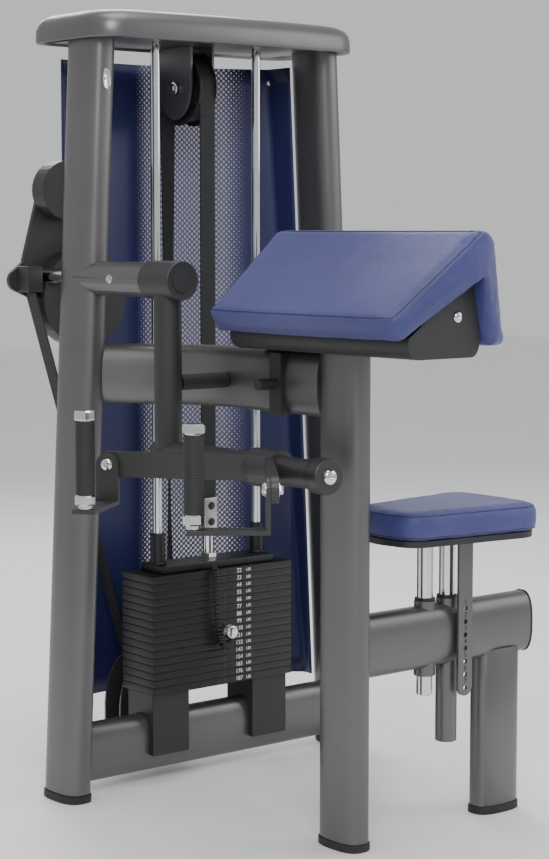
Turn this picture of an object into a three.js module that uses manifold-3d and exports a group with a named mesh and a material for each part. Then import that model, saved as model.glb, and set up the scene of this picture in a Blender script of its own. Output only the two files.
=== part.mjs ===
// Seated arm-curl machine with a weight stack tower. Millimetres, +Z up.
// The tower stands along X, the user sits on the seat beam facing -X, the back of the tower is +Y.
import * as THREE from 'three';
import { mergeVertices } from 'three/addons/utils/BufferGeometryUtils.js';
import Module from 'manifold-3d';

const wasm = await Module();
wasm.setup();

// ---- driving dimensions -------------------------------------------------------------------
const GAP = 0.3;                 // clearance between pieces that touch
const TOWER_SPAN = 750;          // between the upright centres at the floor
const UPRIGHT_HEIGHT = 1600;
const UPRIGHT_LEAN = 0.049;      // inward drift of an upright for each mm of height
const UPRIGHT_WIDTH = 66;        // oval tube of the uprights, across X
const UPRIGHT_DEPTH = 120;       // and along Y
const TUBE_WIDTH = 62;           // oval tube of the legs and beams
const TUBE_DEPTH = 112;
const BEAM_HEIGHT = 124;         // tall oval of the horizontal beams
const WALL = 4;                  // wall of the oval tubes
const FOOT_HEIGHT = 16;
const FOOT_LIP = 2.5;            // the foot stands proud of its tube
const LOWER_BEAM_Z = 90;
const MAIN_TUBE_Z = 890;
const PAD_POST = { x: 230, y: -618, top: 938 };
const SEAT_BEAM_Z = 385;
const SEAT_BEAM_END = 715;
const REAR_LEG_X = 636;
const CAP = { left: 28, right: 722, front: -124, back: 172, rim: 1571, height: 62, wall: 4 };
const TOP_PLATE = { z: 1576, thick: 7, front: -58, back: 150 };
const ROD_RADIUS = 10;
const ROD_SPREAD = 270;          // between the guide rods
const STACK_X = 372;             // centre of the weight stack
const STACK = { width: 376, depth: 118, base: 200, plates: 16, pitch: 15.9, lifted: 9 };
const GROOVE = { deep: 3, high: 1.2 };   // line between two plates
const REST = { width: 96, depth: 92, bottom: 66 };
const HEAD = { width: 300, depth: 84, height: 16, sleeve: 16.5, sleeveHeight: 68 };
const STEM_RADIUS = 12;
const ANCHOR = { width: 34, depth: 26, bottom: 533, height: 72 };
const PULLEY_RADIUS = 70;        // upper pulley, belt running face
const LOW_PULLEY_RADIUS = 42;
const PULLEY_WIDTH = 44;
const AXLE_RADIUS = 9;
const BELT_THICK = 3;
const BELT_WIDTH = 38;
const TOP_PULLEY_Z = 1488;
const BELT_PLANE_Y = 140;        // the cam, the low pulley and the rear belt run lie here
const PIVOT = { x: 55, z: 1087 };      // lever axis, parallel to Y
const PIVOT_TUBE_RADIUS = 35;
const SHAFT_RADIUS = 19;
const HUB = { radius: 38, front: -340, back: -240 };
const LEVER_TUBE = { y: -290, radius: 27 };
const CROSS = { z: 746, radius: 27, end: -776, bossRadius: 33, bossLength: 34 };
const VEE = { y: -602, collarRadius: 36, collarLength: 74, armHeight: 48, armThick: 14 };
const HANDLE_REACH = { x: -185, y: 247 };    // from the vee to a handle pivot
const HANDLE = { plate: 8, width: 44, drop: 76, arm: 130, top: 22 };
const GRIP = { radius: 18, bottom: 700, height: 142, stem: 13, ring: 19.5, cap: 17 };
const CAM = { radius: 104, x: 80, z: -47, width: 44, outset: 10 };
const WEIGHT = { radius: 62, x: 40, z: 181, thick: 40 };
const CLAMP = { x: -58, z: -8, radius: 24 };
const PAD = { y: -640, lowX: 84, lowZ: 1024, topX: 287, topZ: 1192, thick: 48, lowHalf: 268, topHalf: 300 };
const PAD_BACK = { x: 366, z: 968, sweep: 18, half: 268 };     // foot of the rear limb of the arm pad
const SEAT = { left: 312, right: 655, halfLeft: 96, halfRight: 128, corner: 52, top: 650, thick: 58 };
const SEAT_BOARD = 12;
const SEAT_ROD = { front: 440, rear: 500, radius: 16, bottom: 268, longBottom: 196 };
const SLEEVE = { radius: 21.5, top: 458, bottom: 307, longBottom: 166 };
const INDEX = { x: 511, width: 38, thick: 6, gap: 6, bottom: 262, holes: 7, pitch: 26.7, hole: 5 };
const SHROUD = { thick: 3, bottom: 160, top: 1546, left: 118, leftY: 176, deepY: 206, rightY: 64 };

// ---- finishes -----------------------------------------------------------------------------
const finish = (color, roughness, metalness) =>
  new THREE.MeshStandardMaterial({ color, roughness, metalness });
const SILVER = finish(0x77767a, 0.45, 0.6);
const GRAPHITE = finish(0x3a3b3c, 0.6, 0.3);
const BLACK = finish(0x161617, 0.7, 0.1);
const CHROME = finish(0xd6d8dc, 0.12, 1.0);
const VINYL = finish(0x4a4f8f, 0.6, 0.0);
const TINTED = finish(0x3a4288, 0.35, 0.0);

const machine = new THREE.Group();

// ---- shape helpers ------------------------------------------------------------------------
const ROUND = 24;                // facets of a round piece

function solid(geometry) {
  const bare = geometry.clone();
  bare.deleteAttribute('normal');
  bare.deleteAttribute('uv');
  const merged = mergeVertices(bare, 1e-4);
  return new wasm.Manifold(new wasm.Mesh({
    numProp: 3,
    vertProperties: new Float32Array(merged.attributes.position.array),
    triVerts: new Uint32Array(merged.index.array),
  }));
}

function geometryOf(body) {
  const mesh = body.getMesh();
  const geometry = new THREE.BufferGeometry();
  geometry.setAttribute('position', new THREE.BufferAttribute(mesh.vertProperties, 3));
  geometry.setIndex(new THREE.BufferAttribute(mesh.triVerts, 1));
  geometry.computeVertexNormals();
  return geometry;
}

function add(name, geometry, material, group = machine) {
  const mesh = new THREE.Mesh(geometry.isBufferGeometry ? geometry : geometryOf(geometry), material);
  mesh.name = name;
  group.add(mesh);
  return mesh;
}

// Flat-sided oval outline, width along X and length along Y.
function ovalShape(width, length, Outline = THREE.Shape) {
  const outline = new Outline();
  const steps = 28;
  const points = Array.from({ length: steps }, (_, i) => {
    const turn = (2 * Math.PI * i) / steps;
    const bend = (value) => Math.sign(value) * Math.abs(value) ** 0.74;
    return new THREE.Vector2(bend(Math.cos(turn)) * width / 2, bend(Math.sin(turn)) * length / 2);
  });
  outline.setFromPoints(points);
  return outline;
}

function prism(shape, depth, curveSegments = 10) {
  return new THREE.ExtrudeGeometry(shape, { depth, bevelEnabled: false, curveSegments });
}

// Upright oval bar from z0 to z1, leaning by `lean` mm in X for each mm of height.
function ovalPost(x, y, width, length, z0, z1, lean = 0, wall = 0) {
  const shape = ovalShape(width, length);
  if (wall) shape.holes.push(ovalShape(width - 2 * wall, length - 2 * wall, THREE.Path));
  const body = prism(shape, z1 - z0);
  body.translate(0, 0, z0);
  body.applyMatrix4(new THREE.Matrix4().makeShear(0, 0, 0, 0, lean, 0));
  return body.translate(x, y, 0);
}

// Horizontal oval beam along X, its tall axis upright.
function ovalBeam(x0, x1, y, z, width, height) {
  const body = prism(ovalShape(height, width), x1 - x0);
  body.rotateY(Math.PI / 2);
  return body.translate(x0, y, z);
}

function cylinderZ(x, y, z0, z1, radius, facets = ROUND) {
  const body = new THREE.CylinderGeometry(radius, radius, z1 - z0, facets);
  return body.rotateX(Math.PI / 2).translate(x, y, (z0 + z1) / 2);
}

function cylinderY(x, z, y0, y1, radius, facets = ROUND) {
  return new THREE.CylinderGeometry(radius, radius, y1 - y0, facets).translate(x, (y0 + y1) / 2, z);
}

function cylinderX(y, z, x0, x1, radius, facets = ROUND) {
  const body = new THREE.CylinderGeometry(radius, radius, x1 - x0, facets);
  return body.rotateZ(Math.PI / 2).translate((x0 + x1) / 2, y, z);
}

function box(x0, x1, y0, y1, z0, z1) {
  return new THREE.BoxGeometry(x1 - x0, y1 - y0, z1 - z0)
    .translate((x0 + x1) / 2, (y0 + y1) / 2, (z0 + z1) / 2);
}

// Plate standing in XZ whose outline is two discs joined by tangents.
function linkY(from, to, y0, y1) {
  const along = Math.atan2(to.z - from.z, to.x - from.x);
  const reach = Math.hypot(to.x - from.x, to.z - from.z);
  const spread = Math.acos((from.radius - to.radius) / reach);
  const shape = new THREE.Shape();
  shape.absarc(from.x, from.z, from.radius, along + spread, along - spread + 2 * Math.PI, false);
  shape.absarc(to.x, to.z, to.radius, along - spread, along + spread, false);
  return prism(shape, y1 - y0).rotateX(Math.PI / 2).translate(0, y1, 0);
}

// ---- tower frame --------------------------------------------------------------------------
const uprights = [
  { side: 'left', x: 0, lean: UPRIGHT_LEAN },
  { side: 'right', x: TOWER_SPAN, lean: -UPRIGHT_LEAN },
];
const uprightCutter = ({ x, lean }) =>
  solid(ovalPost(x, 0, UPRIGHT_WIDTH + 2 * GAP, UPRIGHT_DEPTH + 2 * GAP, -10, UPRIGHT_HEIGHT + 60, lean));
const uprightCutters = uprights.map(uprightCutter);
const shaftBore = solid(cylinderY(PIVOT.x, PIVOT.z, -200, 200, SHAFT_RADIUS + GAP));

for (const { side, x, lean } of uprights) {
  const tube = ovalPost(x, 0, UPRIGHT_WIDTH, UPRIGHT_DEPTH, FOOT_HEIGHT + GAP, UPRIGHT_HEIGHT, lean, WALL);
  add(`${side}_upright`, side === 'left' ? solid(tube).subtract(shaftBore) : tube, SILVER);
  const lip = 2 * FOOT_LIP;
  add(`${side}_foot`, ovalPost(x, 0, UPRIGHT_WIDTH + lip, UPRIGHT_DEPTH + lip, 0, FOOT_HEIGHT, lean), BLACK);
}

const lowerBeam = (grow) =>
  solid(ovalBeam(0, TOWER_SPAN, 0, LOWER_BEAM_Z, TUBE_WIDTH + 2 * grow, BEAM_HEIGHT + 2 * grow));
add('lower_beam', lowerBeam(0).subtract(lowerBeam(-WALL)).subtract(uprightCutters[0])
  .subtract(uprightCutters[1]), SILVER);

const rodX = [STACK_X - ROD_SPREAD / 2, STACK_X + ROD_SPREAD / 2];
const rodBottom = LOWER_BEAM_Z + BEAM_HEIGHT / 2 + GAP;
const topPlate = solid(box(0, TOWER_SPAN, TOP_PLATE.front, TOP_PLATE.back,
  TOP_PLATE.z, TOP_PLATE.z + TOP_PLATE.thick));
const leanAt = (z) => UPRIGHT_LEAN * z;
const plateLeft = leanAt(TOP_PLATE.z) + 8;
const plateRight = TOWER_SPAN - plateLeft;
const plateTrim = solid(box(plateLeft, plateRight, TOP_PLATE.front, TOP_PLATE.back, 0, 2000));
add('top_plate', topPlate.intersect(plateTrim).subtract(uprightCutters[0]).subtract(uprightCutters[1]), SILVER);

// Cap with a bowed front, open underneath.
function capOutline(inset) {
  const { left, right, front, back } = CAP;
  const corner = 62;
  const shape = new THREE.Shape();
  const [l, r, f, b] = [left + inset, right - inset, front + inset, back - inset];
  shape.moveTo(l + corner, b);
  shape.quadraticCurveTo(l, b, l, b - corner);
  shape.lineTo(l, f + corner + 34);
  shape.quadraticCurveTo(l, f + 26, l + corner, f + 14);
  shape.quadraticCurveTo((l + r) / 2, f - 14, r - corner, f + 14);
  shape.quadraticCurveTo(r, f + 26, r, f + corner + 34);
  shape.lineTo(r, b - corner);
  shape.quadraticCurveTo(r, b, r - corner, b);
  return shape;
}
const capBevel = 22;
const capShell = new THREE.ExtrudeGeometry(capOutline(capBevel), {
  depth: CAP.height - 2 * capBevel + capBevel, bevelThickness: capBevel, bevelSize: capBevel,
  bevelSegments: 4, curveSegments: 8,
}).translate(0, 0, CAP.rim);
const capFloor = solid(box(-100, 900, -300, 300, CAP.rim - 100, CAP.rim));
const capPocket = solid(prism(capOutline(CAP.wall + 6), CAP.height - CAP.wall - 12).translate(0, 0, CAP.rim - 8));
add('top_cap', solid(capShell).subtract(capFloor).subtract(capPocket), SILVER);

rodX.forEach((x, i) => {
  const name = i ? 'right' : 'left';
  add(`guide_rod_${name}`, cylinderZ(x, 0, rodBottom, TOP_PLATE.z - GAP, ROD_RADIUS, 20), CHROME);
  const block = solid(box(x - REST.width / 2, x + REST.width / 2, -REST.depth / 2, REST.depth / 2,
    REST.bottom, STACK.base - GAP));
  const bore = solid(cylinderZ(x, 0, 0, 400, ROD_RADIUS + GAP, 20));
  add(`stack_rest_${name}`, block.subtract(lowerBeam(GAP)).subtract(bore), BLACK);
});

// ---- weight stack -------------------------------------------------------------------------
const selectorZ = STACK.base + (STACK.plates - STACK.lifted + 0.5) * STACK.pitch;
const plateSplit = STACK.base + (STACK.plates - STACK.lifted) * STACK.pitch;
const stackTop = STACK.base + STACK.plates * STACK.pitch;
const PIN_RADIUS = 5;

function plates(first, count) {
  const low = STACK.base + first * STACK.pitch;
  const high = low + count * STACK.pitch - GAP;
  const half = STACK.width / 2;
  let body = solid(box(STACK_X - half, STACK_X + half, -STACK.depth / 2, STACK.depth / 2, low, high));
  const core = solid(box(STACK_X - half + GROOVE.deep, STACK_X + half - GROOVE.deep,
    -STACK.depth / 2 + GROOVE.deep, STACK.depth / 2 - GROOVE.deep, low - 50, high + 50));
  for (let i = 1; i < count; i += 1) {
    const z = low + i * STACK.pitch - GAP / 2;
    const slab = solid(box(STACK_X - half - 9, STACK_X + half + 9, -STACK.depth, STACK.depth,
      z - GROOVE.high / 2, z + GROOVE.high / 2));
    body = body.subtract(slab.subtract(core));
  }
  for (const x of rodX) body = body.subtract(solid(cylinderZ(x, 0, 0, 900, ROD_RADIUS + 1, 16)));
  return body.subtract(solid(cylinderZ(STACK_X, 0, 0, 900, STEM_RADIUS + 1, 16)));
}
const restingCount = STACK.plates - STACK.lifted;
add('resting_plates', plates(0, restingCount), BLACK);
const pinBore = solid(cylinderY(STACK_X, selectorZ, -200, 0, PIN_RADIUS + GAP, 16));
add('lifted_plates', plates(restingCount, STACK.lifted).subtract(pinBore), BLACK);

const headBottom = stackTop;
const stemHole = solid(cylinderZ(STACK_X, 0, 0, 900, STEM_RADIUS + GAP, 16));
let head = solid(box(STACK_X - HEAD.width / 2, STACK_X + HEAD.width / 2, -HEAD.depth / 2, HEAD.depth / 2,
  headBottom, headBottom + HEAD.height));
for (const x of rodX) {
  head = head.add(solid(cylinderZ(x, 0, headBottom, headBottom + HEAD.height + HEAD.sleeveHeight, HEAD.sleeve)));
}
for (const x of rodX) head = head.subtract(solid(cylinderZ(x, 0, 0, 900, ROD_RADIUS + 0.6, 20)));
add('stack_head', head.subtract(stemHole), BLACK);
const stemTop = ANCHOR.bottom - GAP;
const stem = solid(cylinderZ(STACK_X, 0, STACK.base + 4, stemTop, STEM_RADIUS, 16));
add('selector_stem', stem.subtract(pinBore), CHROME);
add('belt_anchor', box(STACK_X - ANCHOR.width / 2, STACK_X + ANCHOR.width / 2, -ANCHOR.depth / 2,
  ANCHOR.depth / 2, ANCHOR.bottom, ANCHOR.bottom + ANCHOR.height), SILVER);

const PIN_FACE = -STACK.depth / 2 - 2;
const pinProfile = [[0, 0], [13, 0], [15, 3], [15, 20], [12, 24], [6, 26], [PIN_RADIUS - 1, 30],
  [PIN_RADIUS - 1, 78], [0, 80]].map(([r, y]) => new THREE.Vector2(r, y));
add('selector_pin', new THREE.LatheGeometry(pinProfile, 20).translate(STACK_X, PIN_FACE - 29, selectorZ), CHROME);

// Curly lanyard from the stack head to the selector pin, hanging in a loose bow.
const LANYARD = [
  [STACK_X - 36, -62, stackTop + 13], [STACK_X - 36, -71, stackTop + 1], [STACK_X - 35, -74, stackTop - 24],
  [STACK_X - 33, -75, stackTop - 60], [STACK_X - 31, -76, selectorZ + 36], [STACK_X - 29, -78, selectorZ + 2],
  [STACK_X - 24, -80, selectorZ - 22], [STACK_X - 13, -81, selectorZ - 31], [STACK_X - 3, -81, selectorZ - 27],
];
const lanyardPath = new THREE.CatmullRomCurve3(LANYARD.map((p) => new THREE.Vector3(...p)));
const lanyardRing = new THREE.Shape().absarc(0, 0, 8.5, 0, 2 * Math.PI);
add('lanyard', new THREE.ExtrudeGeometry(lanyardRing,
  { steps: 24, curveSegments: 5, extrudePath: lanyardPath }), BLACK);

// ---- pulleys and belts --------------------------------------------------------------------
const topPulleyY = BELT_PLANE_Y / 2;
function pulley(radius, width) {
  const rim = radius + 9;
  const half = width / 2;
  const outline = [[AXLE_RADIUS + GAP, -half], [rim, -half], [rim, -half + 2.5], [radius, -half + 2.5],
    [radius, half - 2.5], [rim, half - 2.5], [rim, half], [AXLE_RADIUS + GAP, half]]
    .map(([r, y]) => new THREE.Vector2(r, y));
  return new THREE.LatheGeometry([...outline, outline[0].clone()], 30);
}
const hangerTop = TOP_PLATE.z - GAP;
add('top_pulley', pulley(PULLEY_RADIUS, PULLEY_WIDTH).rotateZ(Math.PI / 2)
  .translate(STACK_X, topPulleyY, TOP_PULLEY_Z), BLACK);

// Hanger plates with a tapered lower end, joined by the axle.
function hangerCheek(x0, x1) {
  const shape = new THREE.Shape();
  shape.moveTo(topPulleyY - 56, hangerTop);
  shape.lineTo(topPulleyY - 56, TOP_PULLEY_Z + 8);
  shape.quadraticCurveTo(topPulleyY - 50, TOP_PULLEY_Z - 62, topPulleyY, TOP_PULLEY_Z - 68);
  shape.quadraticCurveTo(topPulleyY + 50, TOP_PULLEY_Z - 62, topPulleyY + 56, TOP_PULLEY_Z + 8);
  shape.lineTo(topPulleyY + 56, hangerTop);
  return prism(shape, x1 - x0).rotateX(Math.PI / 2).rotateZ(Math.PI / 2).translate(x0, 0, 0);
}
const cheekIn = PULLEY_WIDTH / 2 + 4;
const cheekOut = cheekIn + 6;
add('pulley_hanger', solid(hangerCheek(STACK_X - cheekOut, STACK_X - cheekIn))
  .add(solid(hangerCheek(STACK_X + cheekIn, STACK_X + cheekOut)))
  .add(solid(cylinderX(topPulleyY, TOP_PULLEY_Z, STACK_X - cheekOut - 8, STACK_X + cheekOut + 8, AXLE_RADIUS, 16))),
GRAPHITE);

const lowX = STACK_X - LOW_PULLEY_RADIUS - BELT_THICK;
const LOW_PULLEY_Z = 150;
add('low_pulley', pulley(LOW_PULLEY_RADIUS, PULLEY_WIDTH).translate(lowX, BELT_PLANE_Y, LOW_PULLEY_Z), BLACK);

// Low pulley carrier: a web welded to the lower beam and two cheeks around the pulley.
const carrier = { left: 212, right: 396, bottom: 84, top: 262 };
function carrierCheek(y0, y1) {
  const { left, right, bottom, top } = carrier;
  const shape = new THREE.Shape();
  shape.moveTo(left, bottom);
  shape.lineTo(right, bottom);
  shape.lineTo(right, top - 70);
  shape.quadraticCurveTo(right - 6, top, right - 90, top);
  shape.quadraticCurveTo(left + 10, top - 8, left, bottom + 60);
  return prism(shape, y1 - y0).rotateX(Math.PI / 2).translate(0, y1, 0);
}
const cheekGap = PULLEY_WIDTH / 2 + 4;
const frontCheek = solid(carrierCheek(BELT_PLANE_Y - cheekGap - 5, BELT_PLANE_Y - cheekGap));
const rearCheek = solid(carrierCheek(BELT_PLANE_Y + cheekGap, BELT_PLANE_Y + cheekGap + 5));
const carrierWeb = solid(box(carrier.left, carrier.right, 0, BELT_PLANE_Y + cheekGap + 5,
  carrier.bottom, carrier.bottom + 6));
const lowAxle = solid(cylinderY(lowX, LOW_PULLEY_Z, BELT_PLANE_Y - cheekGap - 12,
  BELT_PLANE_Y + cheekGap + 8, AXLE_RADIUS, 16));
const restClearance = solid(box(rodX[0] - REST.width / 2 - 1, rodX[0] + REST.width / 2 + 1,
  -REST.depth / 2 - 1, REST.depth / 2 + 1, 0, STACK.base));
add('low_pulley_carrier', frontCheek.add(rearCheek).add(carrierWeb).add(lowAxle)
  .subtract(lowerBeam(GAP)).subtract(restClearance), SILVER);

// A flat belt swept along straight runs and arcs in its own plane.
function beltFrom(points, thick, width) {
  const left = points.map((p, i) => {
    const before = points[Math.max(0, i - 1)];
    const after = points[Math.min(points.length - 1, i + 1)];
    const normal = new THREE.Vector2(before.y - after.y, after.x - before.x).normalize();
    return [p.clone().addScaledVector(normal, thick / 2), p.clone().addScaledVector(normal, -thick / 2)];
  });
  const shape = new THREE.Shape([...left.map((pair) => pair[0]), ...left.map((pair) => pair[1]).reverse()]);
  return prism(shape, width);
}
const arcPoints = (cx, cy, radius, from, to, steps) => Array.from({ length: steps + 1 }, (_, i) => {
  const turn = from + ((to - from) * i) / steps;
  return new THREE.Vector2(cx + radius * Math.cos(turn), cy + radius * Math.sin(turn));
});
const beltRide = PULLEY_RADIUS + BELT_THICK / 2 + GAP;
const liftBeltTop = TOP_PULLEY_Z;
const anchorTop = ANCHOR.bottom + ANCHOR.height;

// Run over the upper pulley, in the YZ plane, ending just below the pulley on both sides.
const overTop = [
  new THREE.Vector2(topPulleyY - beltRide, liftBeltTop - 60),
  ...arcPoints(topPulleyY, TOP_PULLEY_Z, beltRide, Math.PI, 0, 20),
  new THREE.Vector2(topPulleyY + beltRide, liftBeltTop - 60),
];
const standX = (body, width) =>
  body.rotateX(Math.PI / 2).rotateZ(Math.PI / 2).translate(STACK_X - width / 2, 0, 0);
add('belt_over_top', standX(beltFrom(overTop, BELT_THICK, BELT_WIDTH), BELT_WIDTH), BLACK);
const beltFrontY = topPulleyY - beltRide;
add('belt_lift_run', box(STACK_X - BELT_WIDTH / 2, STACK_X + BELT_WIDTH / 2, beltFrontY - BELT_THICK / 2,
  beltFrontY + BELT_THICK / 2, anchorTop + GAP, liftBeltTop - 60 - GAP), BLACK);

// Rear run, a quarter turn from the upper pulley down to the low pulley.
const beltBackY = topPulleyY + beltRide;
const lowRide = LOW_PULLEY_RADIUS + BELT_THICK / 2 + GAP;
const runTop = liftBeltTop - 60 - GAP;
const runBottom = LOW_PULLEY_Z + GAP;
function twistedRun(x0, y0, z0, x1, y1, z1, steps) {
  const body = new THREE.BoxGeometry(BELT_WIDTH, BELT_THICK, 1, 4, 1, steps);
  const spots = body.attributes.position;
  for (let i = 0; i < spots.count; i += 1) {
    const share = spots.getZ(i) + 0.5;
    const turn = (Math.PI / 2) * (1 - share);
    const [a, b] = [spots.getX(i), spots.getY(i)];
    spots.setXYZ(i,
      x0 + (x1 - x0) * share + a * Math.cos(turn) - b * Math.sin(turn),
      y0 + (y1 - y0) * share + a * Math.sin(turn) + b * Math.cos(turn),
      z0 + (z1 - z0) * share);
  }
  return body;
}
const rearRun = twistedRun(lowX + lowRide, BELT_PLANE_Y, runBottom, STACK_X, beltBackY, runTop, 24);
add('belt_rear_run', rearRun, BLACK);

// Run round the low pulley and up to the clamp on the lever, in the XZ plane.
const clampX = PIVOT.x + CLAMP.x + 16;
const clampZ = PIVOT.z + CLAMP.z - CLAMP.radius - 2;
const reach = new THREE.Vector2(clampX - lowX, clampZ - LOW_PULLEY_Z);
const tangentTurn = reach.angle() + Math.acos(lowRide / reach.length());
const leaving = new THREE.Vector2(lowX + lowRide * Math.cos(tangentTurn),
  LOW_PULLEY_Z + lowRide * Math.sin(tangentTurn));
const clamped = new THREE.Vector2(clampX, clampZ);
const camRun = [
  ...arcPoints(lowX, LOW_PULLEY_Z, lowRide, 0, tangentTurn - 2 * Math.PI, 20),
  ...Array.from({ length: 14 }, (_, i) => leaving.clone().lerp(clamped, (i + 1) / 14)),
];
const standY = (body, y, width) => body.rotateX(Math.PI / 2).translate(0, y + width / 2, 0);
add('belt_cam_run', standY(beltFrom(camRun, BELT_THICK, BELT_WIDTH), BELT_PLANE_Y, BELT_WIDTH), BLACK);

// ---- main tube, arm pad post, seat beam and leg -------------------------------------------
const bracketFloor = MAIN_TUBE_Z + BEAM_HEIGHT / 2 + 4;
const postTop = bracketFloor - GAP;
const postCutter = solid(ovalPost(PAD_POST.x, PAD_POST.y, TUBE_WIDTH + 2 * GAP,
  TUBE_DEPTH + 2 * GAP, -10, postTop + 5));
const bendPath = new THREE.CurvePath();
const bendStart = new THREE.Vector3(leanAt(MAIN_TUBE_Z), 0, MAIN_TUBE_Z);
const bendKnee = new THREE.Vector3(PAD_POST.x, -190, MAIN_TUBE_Z);
const bendIn = bendStart.clone().lerp(bendKnee, 0.62);
const bendOut = new THREE.Vector3(PAD_POST.x, -300, MAIN_TUBE_Z);
bendPath.add(new THREE.LineCurve3(bendStart, bendIn));
bendPath.add(new THREE.QuadraticBezierCurve3(bendIn, bendKnee, bendOut));
bendPath.add(new THREE.LineCurve3(bendOut, new THREE.Vector3(PAD_POST.x, PAD_POST.y, MAIN_TUBE_Z)));
const TUBE_STEPS = 14;
const mainTube = (grow) => solid(new THREE.ExtrudeGeometry(
  ovalShape(BEAM_HEIGHT + 2 * grow, TUBE_WIDTH + 2 * grow), { steps: TUBE_STEPS, extrudePath: bendPath }));
add('main_tube', mainTube(0).subtract(mainTube(-WALL)).subtract(uprightCutters[0])
  .subtract(postCutter), SILVER);

add('pad_post', ovalPost(PAD_POST.x, PAD_POST.y, TUBE_WIDTH, TUBE_DEPTH,
  FOOT_HEIGHT + GAP, postTop, 0, WALL), SILVER);
const footLip = 2 * FOOT_LIP;
add('pad_post_foot', ovalPost(PAD_POST.x, PAD_POST.y, TUBE_WIDTH + footLip,
  TUBE_DEPTH + footLip, 0, FOOT_HEIGHT), BLACK);

const seatBeam = (grow, end = SEAT_BEAM_END) => solid(ovalBeam(PAD_POST.x, end, PAD_POST.y,
  SEAT_BEAM_Z, TUBE_WIDTH + 2 * grow, BEAM_HEIGHT + 2 * grow));
const beamFront = PAD_POST.y - TUBE_WIDTH / 2;
const sleeves = [
  { name: 'front', x: SEAT_ROD.front, bottom: SLEEVE.bottom, rodBottom: SEAT_ROD.bottom },
  { name: 'rear', x: SEAT_ROD.rear, bottom: SLEEVE.longBottom, rodBottom: SEAT_ROD.longBottom },
];
const latchZ = SEAT_BEAM_Z;
const latchPocket = solid(box(INDEX.x - 46, INDEX.x + 8, beamFront - 40, beamFront + 8,
  latchZ - 9, latchZ + 9));
let beam = seatBeam(0).subtract(seatBeam(-2 * WALL, SEAT_BEAM_END - 2 * WALL))
  .subtract(postCutter).subtract(latchPocket);
for (const { x } of sleeves) beam = beam.subtract(solid(cylinderZ(x, PAD_POST.y, 0, 900, SLEEVE.radius + GAP)));
add('seat_beam', beam, SILVER);
const legTop = SEAT_BEAM_Z + 10;
const legWidth = TUBE_WIDTH - 2;
add('rear_leg', solid(ovalPost(REAR_LEG_X, PAD_POST.y, TUBE_DEPTH, legWidth,
  FOOT_HEIGHT + GAP, legTop, 0, WALL)).subtract(seatBeam(GAP))
  .subtract(solid(box(500, 800, -800, -400, SEAT_BEAM_Z, 900))), SILVER);
add('rear_leg_foot', ovalPost(REAR_LEG_X, PAD_POST.y, TUBE_DEPTH + footLip,
  legWidth + footLip, 0, FOOT_HEIGHT), BLACK);

const boardBottom = SEAT.top - SEAT.thick - SEAT_BOARD - GAP;
for (const { name, x, bottom, rodBottom: low } of sleeves) {
  const bore = solid(cylinderZ(x, PAD_POST.y, 0, 900, SEAT_ROD.radius + GAP));
  const sleeve = solid(cylinderZ(x, PAD_POST.y, bottom, SLEEVE.top, SLEEVE.radius));
  add(`seat_sleeve_${name}`, sleeve.subtract(bore), SILVER);
  add(`seat_rod_${name}`, cylinderZ(x, PAD_POST.y, low, boardBottom - GAP, SEAT_ROD.radius), CHROME);
}

// ---- seat ---------------------------------------------------------------------------------
function seatOutline(inset) {
  const { left, right, halfLeft, halfRight, corner } = SEAT;
  const y = PAD_POST.y;
  const [l, r, a, b] = [left + inset, right - inset, halfLeft - inset, halfRight - inset];
  const shape = new THREE.Shape();
  shape.moveTo(l, y + a - corner);
  shape.quadraticCurveTo(l - 10, y, l, y - a + corner);
  shape.quadraticCurveTo(l, y - a, l + corner, y - a - 4);
  shape.lineTo(r - corner, y - b);
  shape.quadraticCurveTo(r, y - b, r, y - b + corner);
  shape.quadraticCurveTo(r + 6, y, r, y + b - corner);
  shape.quadraticCurveTo(r, y + b, r - corner, y + b);
  shape.lineTo(l + corner, y + a + 4);
  shape.quadraticCurveTo(l, y + a, l, y + a - corner);
  return shape;
}
const seatPad = new THREE.ExtrudeGeometry(seatOutline(8), {
  depth: SEAT.thick - 16, bevelThickness: 8, bevelSize: 8, bevelSegments: 3, curveSegments: 6,
}).translate(0, 0, SEAT.top - SEAT.thick + 8);
add('seat_pad', seatPad, VINYL);
add('seat_board', prism(seatOutline(10), SEAT_BOARD).translate(0, 0, boardBottom), BLACK);

const indexTop = boardBottom - GAP;
const indexShape = new THREE.Shape();
const indexHalf = INDEX.width / 2;
indexShape.moveTo(INDEX.x + indexHalf, indexTop);
indexShape.lineTo(INDEX.x - indexHalf, indexTop);
indexShape.lineTo(INDEX.x - indexHalf, INDEX.bottom + indexHalf);
indexShape.absarc(INDEX.x, INDEX.bottom + indexHalf, indexHalf, Math.PI, 2 * Math.PI, false);
for (let i = 0; i < INDEX.holes; i += 1) {
  const z = latchZ + (i - 4) * INDEX.pitch;
  indexShape.holes.push(new THREE.Path().absarc(INDEX.x, z, INDEX.hole, 0, 2 * Math.PI));
}
const indexBack = beamFront - INDEX.gap;
add('seat_index_plate', prism(indexShape, INDEX.thick, 6).rotateX(Math.PI / 2)
  .translate(0, indexBack, 0), SILVER);
const latchBlade = solid(box(INDEX.x - 42, INDEX.x + 5, beamFront + 1, beamFront + 4,
  latchZ - 5, latchZ + 5));
const latchPeg = solid(cylinderY(INDEX.x, latchZ, indexBack + GAP, beamFront + 2, INDEX.hole - 1, 16));
add('index_latch', latchBlade.add(latchPeg), BLACK);

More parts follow.
